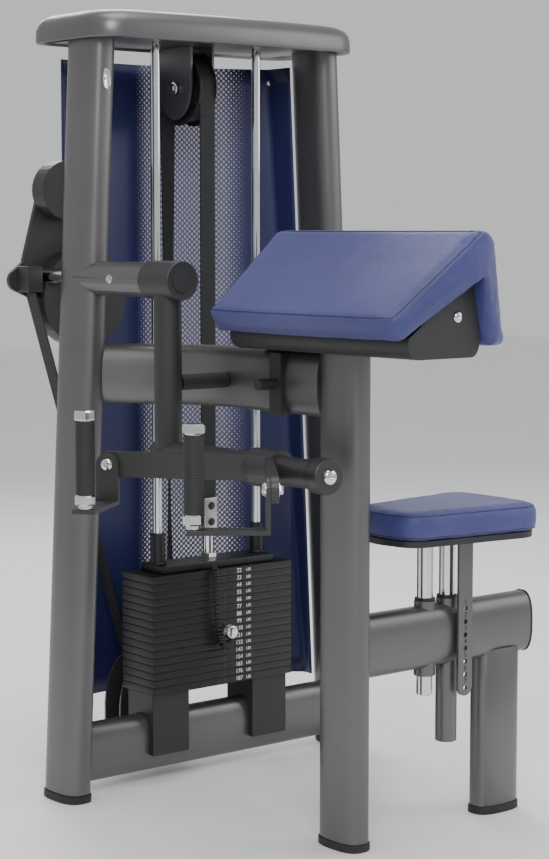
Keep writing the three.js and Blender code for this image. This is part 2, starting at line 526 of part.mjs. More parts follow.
// ---- arm pad and its bracket --------------------------------------------------------------
// Side section of the pad in XZ: an upturned vee. Outer vee minus inner vee.
const slope = new THREE.Vector2(PAD.topX - PAD.lowX, PAD.topZ - PAD.lowZ).normalize();
const slopeNormal = new THREE.Vector2(slope.y, -slope.x);
const innerLow = new THREE.Vector2(PAD.lowX, PAD.lowZ).addScaledVector(slopeNormal, PAD.thick);
function padSection() {
  const crest = new THREE.Vector2(PAD.topX, PAD.topZ);
  const backTop = new THREE.Vector2(PAD.topX + 44, PAD.topZ - 34);
  const shape = new THREE.Shape();
  shape.moveTo(PAD.lowX, PAD.lowZ);
  shape.lineTo(crest.x - 12, crest.y - 10);
  shape.quadraticCurveTo(crest.x + 20, crest.y + 14, backTop.x, backTop.y);
  shape.lineTo(PAD_BACK.x, PAD_BACK.z + 14);
  shape.quadraticCurveTo(PAD_BACK.x, PAD_BACK.z, PAD_BACK.x - 20, PAD_BACK.z);
  shape.lineTo(PAD_BACK.x - PAD.thick, PAD_BACK.z + 6);
  shape.lineTo(crest.x + 4, crest.y - 86);
  shape.lineTo(innerLow.x + 6, innerLow.y);
  shape.quadraticCurveTo(innerLow.x - 8, innerLow.y - 6, innerLow.x - 12, innerLow.y + 4);
  return shape;
}
const padBlock = prism(padSection(), 2 * PAD.topHalf).rotateX(Math.PI / 2)
  .translate(0, PAD.y + PAD.topHalf, 0);
// Plan outline: the lower edge is bowed and narrower than the crest.
const planShape = new THREE.Shape();
const padY = PAD.y;
planShape.moveTo(PAD.lowX + 6, padY + PAD.lowHalf);
planShape.quadraticCurveTo(PAD.lowX - PAD_BACK.sweep, padY, PAD.lowX + 6, padY - PAD.lowHalf);
planShape.lineTo(PAD.topX, padY - PAD.topHalf + 2);
planShape.lineTo(PAD_BACK.x - 10, padY - PAD_BACK.half);
planShape.quadraticCurveTo(PAD_BACK.x + PAD_BACK.sweep, padY, PAD_BACK.x - 10, padY + PAD_BACK.half);
planShape.lineTo(PAD.topX, padY + PAD.topHalf - 2);
const planBlock = prism(planShape, 600).translate(0, 0, 800);
add('arm_pad', solid(padBlock).intersect(solid(planBlock)), VINYL);

// Bracket: a box of folded sheet that fills the vee under the pad.
const bracketHalf = PAD.lowHalf - 14;
const bracketShape = new THREE.Shape();
bracketShape.moveTo(innerLow.x + 22, innerLow.y + 8);
bracketShape.lineTo(PAD.topX + 2, PAD.topZ - 86 - 6);
bracketShape.lineTo(PAD_BACK.x - PAD.thick - 6, PAD_BACK.z + 26);
bracketShape.quadraticCurveTo(PAD_BACK.x - PAD.thick - 8, bracketFloor, PAD_BACK.x - PAD.thick - 30, bracketFloor);
bracketShape.lineTo(innerLow.x + 44, bracketFloor);
bracketShape.quadraticCurveTo(innerLow.x + 14, bracketFloor + 8, innerLow.x + 22, innerLow.y + 8);
const bracketBlock = prism(bracketShape, 2 * bracketHalf).rotateX(Math.PI / 2)
  .translate(0, padY + bracketHalf, 0);
add('pad_bracket', bracketBlock, GRAPHITE);

// Rubber stop that the lever rests on, and the stop for the far end of its travel.
const STOP = { z: 886, radius: 15.5 };
const stopFace = PAD_POST.x - TUBE_WIDTH / 2 - GAP;
const leverFace = PIVOT.x + LEVER_TUBE.radius;
add('lever_stop', cylinderX(LEVER_TUBE.y, STOP.z, leverFace + 1, stopFace - 1.5, STOP.radius, 20), BLACK);
const KNOB = { y: -456, z: 888, radius: 11, length: 44, saddle: 60 };
const saddle = solid(box(stopFace - 9, stopFace + 24, KNOB.y - 17, KNOB.y + 17,
  KNOB.z - KNOB.saddle, KNOB.z + KNOB.saddle));
const knob = solid(cylinderX(KNOB.y, KNOB.z, stopFace - 9 - KNOB.length, stopFace - 2, KNOB.radius, 20));
add('tube_saddle', saddle.subtract(mainTube(GAP)).add(knob), GRAPHITE);

// ---- lever --------------------------------------------------------------------------------
const hubCutter = solid(cylinderY(PIVOT.x, PIVOT.z, HUB.front - 1, HUB.back + 1, HUB.radius + GAP));
const pivotTube = solid(cylinderY(PIVOT.x, PIVOT.z, HUB.back + 2, 0, PIVOT_TUBE_RADIUS));
add('pivot_tube', pivotTube.subtract(uprightCutters[0]).subtract(shaftBore)
  .subtract(solid(cylinderY(PIVOT.x, PIVOT.z, -300, 100, SHAFT_RADIUS + GAP))), SILVER);
const shaftRear = BELT_PLANE_Y + CAM.width / 2 + CAM.outset + 16;
const hubBore = solid(cylinderY(PIVOT.x, PIVOT.z, HUB.front + 14, 300, SHAFT_RADIUS + GAP));
add('lever_hub', solid(cylinderY(PIVOT.x, PIVOT.z, HUB.front, HUB.back, HUB.radius)).subtract(hubBore), GRAPHITE);
add('pivot_shaft', cylinderY(PIVOT.x, PIVOT.z, HUB.front + 14 + GAP, shaftRear, SHAFT_RADIUS), CHROME);
const crossFront = LEVER_TUBE.y + LEVER_TUBE.radius + 3;
const crossTube = solid(cylinderY(PIVOT.x, CROSS.z, CROSS.end, crossFront, CROSS.radius))
  .add(solid(cylinderY(PIVOT.x, CROSS.z, CROSS.end, CROSS.end + CROSS.bossLength, CROSS.bossRadius)));
add('cross_tube', crossTube, GRAPHITE);
const crossCutter = solid(cylinderY(PIVOT.x, CROSS.z, CROSS.end - 10, crossFront + 10,
  CROSS.radius + GAP));
add('lever_tube', solid(cylinderZ(PIVOT.x, LEVER_TUBE.y, CROSS.z, PIVOT.z, LEVER_TUBE.radius))
  .subtract(hubCutter).subtract(crossCutter), GRAPHITE);

const handles = [
  { side: 'left', x: HANDLE_REACH.x, y: HANDLE_REACH.y },
  { side: 'right', x: HANDLE_REACH.x, y: -HANDLE_REACH.y },
];
const reachLength = Math.hypot(HANDLE_REACH.x, HANDLE_REACH.y);
// A box set along the direction (dx, dy) from a point, used for the vee arms and the handles.
function turned(geometry, x, y, dx, dy) {
  return geometry.rotateZ(Math.atan2(dy, dx)).translate(x, y, 0);
}
let vee = solid(cylinderY(PIVOT.x, CROSS.z, VEE.y - VEE.collarLength / 2,
  VEE.y + VEE.collarLength / 2, VEE.collarRadius));
const half = VEE.armThick / 2;
for (const { x, y } of handles) {
  const arm = box(0, reachLength, -half, half, CROSS.z - VEE.armHeight / 2, CROSS.z + VEE.armHeight / 2);
  vee = vee.add(solid(turned(arm, PIVOT.x, VEE.y, x, y)));
  const boss = cylinderY(reachLength, CROSS.z, -half, half, VEE.armHeight / 2);
  vee = vee.add(solid(turned(boss, PIVOT.x, VEE.y, x, y)));
}
const veeBore = solid(cylinderY(PIVOT.x, CROSS.z, VEE.y - 100, VEE.y + 100, CROSS.radius + GAP));
add('vee_bar', vee.subtract(veeBore), GRAPHITE);

// Handle bracket: an angle of flat bar whose foot carries the upright grip.
for (const { side, x, y } of handles) {
  const [ax, ay] = [x / reachLength, y / reachLength];
  const px = PIVOT.x + x;
  const py = VEE.y + y;
  const into = side === 'left' ? 1 : -1;
  const face = half + GAP;
  const plateZ = CROSS.z - HANDLE.drop;
  const span = (from, to) => (into < 0 ? [-to, -from] : [from, to]);
  const flat = (u0, u1, v0, v1, z0, z1) => {
    const [a, b] = span(v0, v1);
    return solid(turned(box(u0, u1, a, b, z0, z1), px, py, ax, ay));
  };
  const w = HANDLE.width / 2;
  const disc = (() => {
    const [a, b] = span(face, face + HANDLE.plate);
    return solid(turned(cylinderY(0, CROSS.z, a, b, w), px, py, ax, ay));
  })();
  const bracketBody = flat(-w, w, face, face + HANDLE.plate, plateZ, CROSS.z)
    .add(disc)
    .add(flat(-w, w, face, face + HANDLE.arm + w * 0.6, plateZ, plateZ + HANDLE.plate));
  add(`${side}_bracket`, bracketBody, GRAPHITE);
  const gripAt = into * (face + HANDLE.arm);
  const gx = px - ay * gripAt;
  const gy = py + ax * gripAt;
  const gripTop = GRIP.bottom + GRIP.height;
  const stemZ = plateZ + HANDLE.plate + GAP;
  const post = [[0, stemZ], [GRIP.stem, stemZ], [GRIP.stem, gripTop + GAP], [GRIP.ring, gripTop + GAP],
    [GRIP.ring, gripTop + GRIP.cap], [0, gripTop + GRIP.cap]].map(([r, z]) => new THREE.Vector2(r, z));
  add(`${side}_grip_post`, new THREE.LatheGeometry(post, 24).rotateX(Math.PI / 2).translate(gx, gy, 0), CHROME);
  const tube = solid(cylinderZ(gx, gy, GRIP.bottom, gripTop, GRIP.radius))
    .subtract(solid(cylinderZ(gx, gy, 0, 1200, GRIP.stem + GAP)));
  add(`${side}_grip`, tube, BLACK);
}

// Cam, counterweight arm and belt clamp on the rear end of the shaft.
const camFront = BELT_PLANE_Y - CAM.width / 2 - 2;
const camRear = BELT_PLANE_Y + CAM.width / 2;
const rearBore = solid(cylinderY(PIVOT.x, PIVOT.z, 0, 400, SHAFT_RADIUS + GAP));
add('cam', solid(cylinderY(PIVOT.x + CAM.x, PIVOT.z + CAM.z, camFront, camRear - 2, CAM.radius, 36))
  .subtract(rearBore), GRAPHITE);
const armY = camRear - 1;
const at = (spot, radius) => ({ x: PIVOT.x + spot.x, z: PIVOT.z + spot.z, radius });
const armPlate = solid(linkY(at(WEIGHT, 44), at({ x: 0, z: 0 }, 54), armY, armY + 10))
  .add(solid(linkY(at({ x: 0, z: 0 }, 54), at(CLAMP, CLAMP.radius), armY, armY + 10)));
const weight = solid(cylinderY(PIVOT.x + WEIGHT.x, PIVOT.z + WEIGHT.z, armY - WEIGHT.thick,
  armY + 2, WEIGHT.radius, 32));
add('counterweight_arm', armPlate.add(weight).subtract(rearBore), GRAPHITE);
add('belt_clamp', box(clampX - 20, clampX + 16, BELT_PLANE_Y - BELT_WIDTH / 2 - 3, armY - GAP,
  clampZ + 1.5, clampZ + 56), GRAPHITE);

// ---- rear shroud --------------------------------------------------------------------------
const shroudCurve = new THREE.CubicBezierCurve(
  new THREE.Vector2(SHROUD.left, SHROUD.leftY), new THREE.Vector2(SHROUD.left + 160, SHROUD.deepY + 8),
  new THREE.Vector2(TOWER_SPAN - 180, SHROUD.deepY + 20), new THREE.Vector2(TOWER_SPAN - 20, SHROUD.rightY - 20));
const shroudLine = shroudCurve.getPoints(22);
const shroudBody = solid(beltFrom(shroudLine, SHROUD.thick, SHROUD.top - SHROUD.bottom)
  .translate(0, 0, SHROUD.bottom));
const inner = TOWER_SPAN - UPRIGHT_WIDTH / 2 - 3;
const sideTrim = box(inner, inner + 300, -300, 300, -20, 1700)
  .applyMatrix4(new THREE.Matrix4().makeShear(0, 0, 0, 0, -UPRIGHT_LEAN, 0));
add('rear_shroud', shroudBody.subtract(solid(sideTrim)), TINTED);

// Stand the machine on the floor with its origin under the middle of its box.
const extent = new THREE.Box3().setFromObject(machine);
const middle = extent.getCenter(new THREE.Vector3());
machine.position.set(-middle.x, -middle.y, -extent.min.z);
machine.updateMatrixWorld(true);

export default machine;
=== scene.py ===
"""Seated arm-curl machine with a weight-stack tower: the looks of every piece."""

import logging
import math
from dataclasses import dataclass, field
from enum import Enum

import bmesh
import bpy
from mathutils import Matrix, Vector
from mathutils.bvhtree import BVHTree


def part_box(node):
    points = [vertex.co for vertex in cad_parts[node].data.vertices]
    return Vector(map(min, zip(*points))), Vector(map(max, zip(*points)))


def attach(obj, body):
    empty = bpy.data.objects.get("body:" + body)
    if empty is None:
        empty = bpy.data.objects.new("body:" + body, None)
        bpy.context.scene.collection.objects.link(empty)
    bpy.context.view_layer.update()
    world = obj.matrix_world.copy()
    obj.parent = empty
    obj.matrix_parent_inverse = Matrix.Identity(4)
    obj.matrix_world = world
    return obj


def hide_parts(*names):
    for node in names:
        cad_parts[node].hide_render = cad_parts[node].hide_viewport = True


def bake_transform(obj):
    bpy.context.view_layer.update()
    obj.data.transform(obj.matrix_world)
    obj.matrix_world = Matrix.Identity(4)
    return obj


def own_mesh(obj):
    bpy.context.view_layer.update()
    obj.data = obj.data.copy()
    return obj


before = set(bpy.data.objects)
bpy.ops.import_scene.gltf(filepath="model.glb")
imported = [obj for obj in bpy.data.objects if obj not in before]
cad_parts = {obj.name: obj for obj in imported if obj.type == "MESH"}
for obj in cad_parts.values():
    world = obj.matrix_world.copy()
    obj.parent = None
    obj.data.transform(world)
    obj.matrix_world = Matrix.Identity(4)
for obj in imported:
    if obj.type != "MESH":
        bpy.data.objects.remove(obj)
LOG = logging.getLogger("arm_curl_machine")

MM = 0.001
ROUND = 48
Point = tuple[float, float, float]

# The directions of the shop drawing, seen from the front of the tower.
RIGHT = Vector((1, 0, 0))
LEFT = Vector((-1, 0, 0))
BACK = Vector((0, 1, 0))
FRONT = Vector((0, -1, 0))
UP = Vector((0, 0, 1))

# The shop drawing's zero is the foot of the left upright; the pad post stands at (230, -618).
POST_X = 230.0
POST_Y = -618.0
_low, _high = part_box("pad_post_foot")
ZERO = Vector(((_low[0] + _high[0]) / 2 - POST_X * MM, (_low[1] + _high[1]) / 2 - POST_Y * MM, 0.0))


def place(x: float, y: float, z: float) -> Vector:
    """Returns the row-frame point of a drawing point in millimetres."""
    return ZERO + Vector((x, y, z)) * MM


class Body(Enum):
    """The bodies that pieces ride on."""

    FRAME = "frame"
    STACK = "stack"
    PIN = "pin"
    TOP_PULLEY = "top_pulley_wheel"
    LOW_PULLEY = "low_pulley_wheel"
    LEVER = "lever"
    LEFT_HANDLE = "left_handle"
    RIGHT_HANDLE = "right_handle"
    SEAT = "seat"
    LATCH = "latch"


# ---- finishes ------------------------------------------------------------------------------


class Shader:
    """A node tree with a few short helpers for making procedural finishes."""

    def __init__(self, name: str) -> None:
        """Starts a material with its Principled shader."""
        self.material = bpy.data.materials.new(name)
        self.material.use_nodes = True
        self.tree = self.material.node_tree
        self.surface = self.tree.nodes["Principled BSDF"]
        self.coords = self.tree.nodes.new("ShaderNodeTexCoord")

    def node(self, kind: str, **values: float) -> bpy.types.Node:
        """Adds a node and sets its input values by socket name."""
        made = self.tree.nodes.new(kind)
        for key, value in values.items():
            made.inputs[key.replace("_", " ")].default_value = value
        return made

    def link(self, output: bpy.types.NodeSocket, target: bpy.types.NodeSocket) -> None:
        """Joins two sockets."""
        self.tree.links.new(output, target)

    def noise(self, scale: float, detail: float = 3.0, source: str = "Object") -> bpy.types.NodeSocket:
        """Returns the value of a noise pattern on the given coordinates."""
        made = self.node("ShaderNodeTexNoise", Scale=scale, Detail=detail)
        self.link(self.coords.outputs[source], made.inputs["Vector"])
        return made.outputs["Fac"]

    def ramp(self, source: bpy.types.NodeSocket, stops: list[tuple[float, tuple]]) -> bpy.types.NodeSocket:
        """Returns a colour ramp over a value; stops are (place, colour) pairs."""
        made = self.node("ShaderNodeValToRGB")
        while len(made.color_ramp.elements) < len(stops):
            made.color_ramp.elements.new(0.5)
        for element, (spot, colour) in zip(made.color_ramp.elements, stops):
            element.position = spot
            element.color = (*colour, 1.0)
        self.link(source, made.inputs["Fac"])
        return made.outputs["Color"]

    def scaled(self, source: bpy.types.NodeSocket, low: float, high: float) -> bpy.types.NodeSocket:
        """Returns the value mapped from 0..1 to low..high."""
        made = self.node("ShaderNodeMapRange")
        made.inputs["To Min"].default_value = low
        made.inputs["To Max"].default_value = high
        self.link(source, made.inputs["Value"])
        return made.outputs["Result"]

    def bump(self, height: bpy.types.NodeSocket, depth: float, strength: float) -> None:
        """Adds a bump of the given depth in metres, over any bump already made."""
        made = self.node("ShaderNodeBump", Strength=strength, Distance=depth)
        self.link(height, made.inputs["Height"])
        normal = self.surface.inputs["Normal"]
        if normal.is_linked:
            self.link(normal.links[0].from_socket, made.inputs["Normal"])
        self.link(made.outputs["Normal"], normal)

    def paint(self, colour: bpy.types.NodeSocket, rough: bpy.types.NodeSocket) -> None:
        """Links the colour and the roughness."""
        self.link(colour, self.surface.inputs["Base Color"])
        self.link(rough, self.surface.inputs["Roughness"])

    def fixed(self, **values: float) -> None:
        """Sets the shader's own sockets; names take spaces for underscores."""
        for key, value in values.items():
            self.surface.inputs[key.replace("_", " ")].default_value = value


def shade(colour: tuple, share: float) -> tuple:
    """Returns the colour made lighter or darker by a factor."""
    return tuple(min(1.0, channel * share) for channel in colour)


@dataclass(frozen=True)
class Coating:
    """Sprayed powder coat: fine flake, a slight orange peel and light handling marks."""

    name: str
    slot: str
    colour: tuple
    metal: float
    rough: float
    peel: float = 0.25
    coat: float = 0.0

    def make(self) -> bpy.types.Material:
        """Returns the material."""
        shader = Shader(self.name)
        cloud = shader.noise(3.0, 4.0)
        flake = shader.noise(900.0, 1.0)
        blend = shader.node("ShaderNodeMix")
        blend.data_type = "FLOAT"
        blend.inputs[0].default_value = 0.45
        shader.link(cloud, blend.inputs[2])
        shader.link(flake, blend.inputs[3])
        colour = shader.ramp(blend.outputs[0], [(0.3, shade(self.colour, 0.86)),
                                                (0.72, shade(self.colour, 1.12))])
        rough = shader.scaled(shader.noise(14.0, 5.0), self.rough - 0.07, self.rough + 0.08)
        shader.paint(colour, rough)
        shader.bump(shader.noise(420.0, 2.0), 0.0004, self.peel)
        shader.fixed(Metallic=self.metal, Coat_Weight=self.coat, Coat_Roughness=0.2)
        return shader.material


@dataclass(frozen=True)
class Plating:
    """Polished plating with faint wiping marks."""

    name: str = "polished_chrome"
    slot: str = "chrome"
    colour: tuple = (0.72, 0.73, 0.75)
    rough: float = 0.09

    def make(self) -> bpy.types.Material:
        """Returns the material."""
        shader = Shader(self.name)
        haze = shader.noise(35.0, 5.0)
        colour = shader.ramp(haze, [(0.3, shade(self.colour, 0.93)), (0.75, self.colour)])
        shader.paint(colour, shader.scaled(haze, self.rough - 0.03, self.rough + 0.07))
        shader.fixed(Metallic=1.0)
        return shader.material


@dataclass(frozen=True)
class Moulded:
    """Rubber or plastic with a fine moulded grain."""

    name: str
    slot: str
    colour: tuple
    rough: float
    grain: float = 700.0
    depth: float = 0.0003

    def make(self) -> bpy.types.Material:
        """Returns the material."""
        shader = Shader(self.name)
        dust = shader.noise(18.0, 6.0)
        colour = shader.ramp(dust, [(0.35, shade(self.colour, 0.85)), (0.8, shade(self.colour, 1.3))])
        shader.paint(colour, shader.scaled(dust, self.rough - 0.06, self.rough + 0.08))
        shader.bump(shader.noise(self.grain, 2.0), self.depth, 0.4)
        return shader.material


@dataclass(frozen=True)
class Belting:
    """Ribbed flat belt: fine lengthwise ribs across the width, read from the piece's UV map, with painted
    shade in the grooves and painted highlight on the ridges.
    """

    name: str = "ribbed_belt"
    slot: str = "rubber"
    colour: tuple = (0.019, 0.019, 0.020)
    ribs: float = 11.0

    def make(self) -> bpy.types.Material:
        """Returns the material."""
        shader = Shader(self.name)
        wave = shader.node("ShaderNodeTexWave", Scale=self.ribs)
        wave.bands_direction = "X"
        shader.link(shader.coords.outputs["UV"], wave.inputs["Vector"])
        # Painted shade and highlight: the colour follows the rib height, darker in the grooves and lighter on
        # the ridges.
        colour = shader.ramp(wave.outputs["Fac"], [(0.1, shade(self.colour, 0.5)),
                                                   (0.9, shade(self.colour, 1.9))])
        shader.paint(colour, shader.scaled(shader.noise(60.0, 4.0), 0.45, 0.65))
        shader.bump(wave.outputs["Fac"], 0.0012, 0.9)
        return shader.material


@dataclass(frozen=True)
class Upholstery:
    """Coated cloth: pebbled grain, a soft sheen and slight colour drift from wear."""

    name: str = "violet_vinyl"
    slot: str = "vinyl"
    colour: tuple = (0.038, 0.043, 0.168)
    pebble: float = 520.0

    def make(self) -> bpy.types.Material:
        """Returns the material."""
        shader = Shader(self.name)
        drift = shader.noise(7.0, 5.0)
        cells = shader.node("ShaderNodeTexVoronoi", Scale=self.pebble)
        shader.link(shader.coords.outputs["Object"], cells.inputs["Vector"])
        colour = shader.ramp(drift, [(0.28, shade(self.colour, 0.84)), (0.75, shade(self.colour, 1.17))])
        shader.paint(colour, shader.scaled(shader.noise(90.0, 4.0), 0.42, 0.58))
        shader.bump(cells.outputs["Distance"], 0.0007, 0.5)
        shader.bump(shader.noise(26.0, 3.0), 0.0012, 0.25)
        shader.fixed(Sheen_Weight=0.1, Sheen_Roughness=0.5)
        return shader.material


@dataclass(frozen=True)
class TintedMesh:
    """Blue sheet, solid along both sides and punched with fine staggered holes in the middle, where the sheet
    gets a paler painted glow.
    """

    name: str = "tinted_perforated"
    slot: str = "tinted_sheet"
    colour: tuple = (0.022, 0.026, 0.105)
    pitch: float = 0.0085
    hole: float = 0.34
    clear: float = 0.42
    # painted glow: the paler colour given to the perforated middle, standing for light seen through the holes
    lit: tuple = (0.118, 0.116, 0.215)
    band_ends: tuple = (0.2, 0.24, 0.43, 0.5)

    def make(self) -> bpy.types.Material:
        """Returns the material."""
        shader = Shader(self.name)
        mapping = shader.node("ShaderNodeMapping")
        mapping.inputs["Scale"].default_value = (1 / self.pitch, 1 / self.pitch, 1.0)
        mapping.inputs["Rotation"].default_value = (0.0, 0.0, math.radians(45.0))
        shader.link(shader.coords.outputs["UV"], mapping.inputs["Vector"])
        cells = shader.node("ShaderNodeTexVoronoi", Scale=1.0, Randomness=0.0)
        cells.voronoi_dimensions = "2D"
        shader.link(mapping.outputs["Vector"], cells.inputs["Vector"])
        split = shader.node("ShaderNodeSeparateXYZ")
        shader.link(shader.coords.outputs["UV"], split.inputs["Vector"])
        first, second, third, fourth = self.band_ends
        band = shader.ramp(split.outputs["X"], [(first, (0.0,) * 3), (second, (1.0,) * 3),
                                                (third, (1.0,) * 3), (fourth, (0.0,) * 3)])
        size = self.math(shader, "MULTIPLY", band, self.hole + 0.08)
        solid = self.math(shader, "GREATER_THAN", cells.outputs["Distance"], size)
        # Painted glow: towards the perforated middle the sheet's colour turns paler, as if lit through the
        # holes.
        pale = shader.ramp(band, [(0.2, self.colour), (0.9, self.lit)])
        shader.paint(pale, shader.scaled(shader.noise(30.0, 3.0), 0.28, 0.42))
        alpha = shader.scaled(solid, self.clear, 1.0)
        shader.link(alpha, shader.surface.inputs["Alpha"])
        return shader.material

    def math(self, shader: Shader, operation: str, value: bpy.types.NodeSocket, other: object) -> object:
        """Returns the result of a two-input Math node."""
        made = shader.node("ShaderNodeMath")
        made.operation = operation
        shader.link(value, made.inputs[0])
        if isinstance(other, float):
            made.inputs[1].default_value = other
        else:
            shader.link(other, made.inputs[1])
        return made.outputs["Value"]


class Finishes:
    """Every finish of the machine, made once."""

    def __init__(self) -> None:
        """Makes the materials."""
        self.silver = self._make(
            Coating("silver_powder_coat", "frame_paint", (0.15, 0.147, 0.148), 0.75, 0.36))
        self.graphite = self._make(
            Coating("graphite_powder_coat", "dark_paint", (0.04, 0.04, 0.0405), 0.35, 0.44))
        self.iron = self._make(
            Coating("black_plate_paint", "plate_iron", (0.0085, 0.0085, 0.0088), 0.1, 0.4, 0.4))
        self.chrome = self._make(Plating())
        self.rubber = self._make(Moulded("black_rubber", "rubber", (0.014, 0.014, 0.015), 0.62))
        self.plastic = self._make(
            Moulded("black_plastic", "black_plastic", (0.018, 0.018, 0.02), 0.45, 500.0))
        self.label = self._make(Moulded("white_marking", "plate_iron", (0.85, 0.85, 0.83), 0.5))
        self.ink = self._make(Moulded("dark_marking", "frame_paint", (0.02, 0.02, 0.022), 0.5))
        self.belt = self._make(Belting())
        self.vinyl = self._make(Upholstery())
        self.thread = self._make(Moulded("violet_piping", "vinyl", (0.022, 0.025, 0.098), 0.5, 900.0))
        self.tint = self._make(TintedMesh())
        self.steel = self._make(Plating("satin_zinc", "frame_paint", (0.42, 0.42, 0.43), 0.3))

    def _make(self, finish: Coating | Plating | Moulded | Belting | Upholstery | TintedMesh) -> tuple:
        """Returns the material with the name of its record slot."""
        return finish.make(), finish.slot


# ---- mesh helpers --------------------------------------------------------------------------


class Shop:
    """Builds finished objects out of bmesh shapes."""

    def __init__(self, finishes: Finishes) -> None:
        """Keeps the finishes."""
        self.finishes = finishes

    def finish(
        self,
        name: str,
        mesh: bmesh.types.BMesh,
        look: tuple,
        body: Body | None,
        replaces: tuple[str, ...] = (),
        smooth: bool = True,
        angle: float = 38.0,
    ) -> bpy.types.Object:
        """Turns a bmesh into a piece at the origin.

        Args:
            name: the piece's name.
            mesh: the shape, in the row frame; it is freed here.
            look: the material and the record slot.
            body: what the piece rides on, or None if it bends between two bodies.
            replaces: CAD nodes that this piece stands for.
            smooth: whether faces are shaded smooth.
            angle: edges sharper than this stay crisp, in degrees.

        Returns:
            The new object.
        """
        bmesh.ops.remove_doubles(mesh, verts=mesh.verts, dist=1e-6)
        bmesh.ops.recalc_face_normals(mesh, faces=mesh.faces)
        for face in mesh.faces:
            face.smooth = smooth
        limit = math.radians(angle)
        for edge in mesh.edges:
            if len(edge.link_faces) == 2 and edge.calc_face_angle(0.0) > limit:
                edge.smooth = False
        data = bpy.data.meshes.new(name)
        mesh.to_mesh(data)
        mesh.free()
        made = bpy.data.objects.new(name, data)
        bpy.context.scene.collection.objects.link(made)
        material, slot = look
        data.materials.append(material)
        if replaces:
            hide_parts(*replaces)
        if body:
            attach(made, body.value)
        LOG.info("%s: %d faces", name, len(data.polygons))
        return made

    def dress(self, node: str, look: tuple, bevel: float = 1.0) -> bpy.types.Object:
        """Gives a carried-over CAD node its finish and soft edges.

        Args:
            node: the CAD node.
            look: the material and the record slot.
            bevel: edge radius in millimetres, 0 for none.

        Returns:
            The node's object.
        """
        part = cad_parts[node]
        material, slot = look
        if not part.material_slots:
            part.data.materials.append(material)
        for entry in part.material_slots:
            entry.link = "OBJECT"
            entry.material = material
        if bevel:
            weld = part.modifiers.new("weld", "WELD")
            weld.merge_threshold = 1e-5
            soft = part.modifiers.new("edges", "BEVEL")
            soft.width = bevel * MM
            soft.segments = 2
            soft.limit_method = "ANGLE"
            soft.angle_limit = math.radians(32.0)
            soft.harden_normals = False
        return part


def bar(mesh: bmesh.types.BMesh, low: Point, high: Point, round_off: float = 0.0, segments: int = 3) -> list:
    """Adds a box between two drawing corners with rounded edges.

    Args:
        mesh: where the box goes.
        low: its lowest corner, in millimetres.
        high: its highest corner, in millimetres.
        round_off: edge radius in millimetres.
        segments: steps of the rounding.

    Returns:
        The new vertices.
    """
    made = bmesh.ops.create_cube(mesh, size=1.0)["verts"]
    start = place(*low)
    end = place(*high)
    bmesh.ops.scale(mesh, verts=made, vec=end - start)
    bmesh.ops.translate(mesh, verts=made, vec=(start + end) / 2)
    if round_off:
        edges = list({edge for vert in made for edge in vert.link_edges})
        bmesh.ops.bevel(mesh, geom=edges, offset=round_off * MM, segments=segments, profile=0.5,
                        affect="EDGES", material=-1)
    return made


def turn(
    mesh: bmesh.types.BMesh,
    profile: list[tuple[float, float]],
    centre: Point,
    axis: Vector,
    steps: int = ROUND,
) -> list:
    """Spins a profile about an axis through a drawing point.

    Args:
        mesh: where the turned shape goes.
        profile: (radius, distance along the axis) pairs in millimetres.
        centre: the drawing point that the distances count from.
        axis: the unit direction.
        steps: facets in a full turn.

    Returns:
        The new vertices.
    """
    before = set(mesh.verts)
    spots = [mesh.verts.new((radius * MM, 0.0, reach * MM)) for radius, reach in profile]
    edges = [mesh.edges.new(pair) for pair in zip(spots, spots[1:])]
    bmesh.ops.spin(mesh, geom=spots + edges, cent=(0, 0, 0), axis=(0, 0, 1), angle=2 * math.pi,
                   steps=steps, use_merge=True)
    made = [vert for vert in mesh.verts if vert not in before]
    bmesh.ops.remove_doubles(mesh, verts=made, dist=1e-6)
    made = [vert for vert in mesh.verts if vert.is_valid and vert not in before]
    spin = UP.rotation_difference(axis).to_matrix().to_4x4()
    bmesh.ops.transform(mesh, matrix=Matrix.Translation(place(*centre)) @ spin, verts=made)
    return made


def bend(begin: tuple, pull: tuple, finish: tuple, share: float) -> tuple[float, float]:
    """Returns the point at a share of a quadratic curve in the plan."""
    return tuple((1 - share) ** 2 * begin[i] + 2 * share * (1 - share) * pull[i] + share ** 2 * finish[i]
                 for i in (0, 1))


def rod(radius: float, start: float, end: float, edge: float = 0.8) -> list[tuple[float, float]]:
    """Returns the profile of a solid round bar with eased ends, in millimetres."""
    return [(0, start), (radius - edge, start), (radius, start + edge), (radius, end - edge),
            (radius - edge, end), (0, end)]


def tube(
    outer: float, inner: float, start: float, end: float, edge: float = 0.8
) -> list[tuple[float, float]]:
    """Returns the closed profile of a round tube with eased rims, in millimetres."""
    return [(inner, start), (outer - edge, start), (outer, start + edge), (outer, end - edge),
            (outer - edge, end), (inner, end), (inner, start)]


def oval(width: float, length: float, steps: int = 64) -> list[tuple[float, float]]:
    """Returns the flat-sided oval outline of the machine's tube, in millimetres."""
    power = 0.74
    outline = []
    for step in range(steps):
        angle = 2 * math.pi * step / steps
        across = math.copysign(abs(math.cos(angle)) ** power, math.cos(angle)) * width / 2
        along = math.copysign(abs(math.sin(angle)) ** power, math.sin(angle)) * length / 2
        outline.append((across, along))
    return outline


def loft(mesh: bmesh.types.BMesh, rings: list[list[Vector]], caps: bool = True) -> None:
    """Bridges rings of points into a tube.

    Args:
        mesh: where the tube goes.
        rings: equally long rings of row-frame points.
        caps: whether both ends are closed.
    """
    loops = []
    for ring in rings:
        spots = [mesh.verts.new(point) for point in ring]
        loops.append([mesh.edges.new((spots[i], spots[(i + 1) % len(spots)])) for i in range(len(spots))])
    for first, second in zip(loops, loops[1:]):
        bmesh.ops.bridge_loops(mesh, edges=first + second)
    if caps:
        for loop in (loops[0], loops[-1]):
            bmesh.ops.contextual_create(mesh, geom=loop)


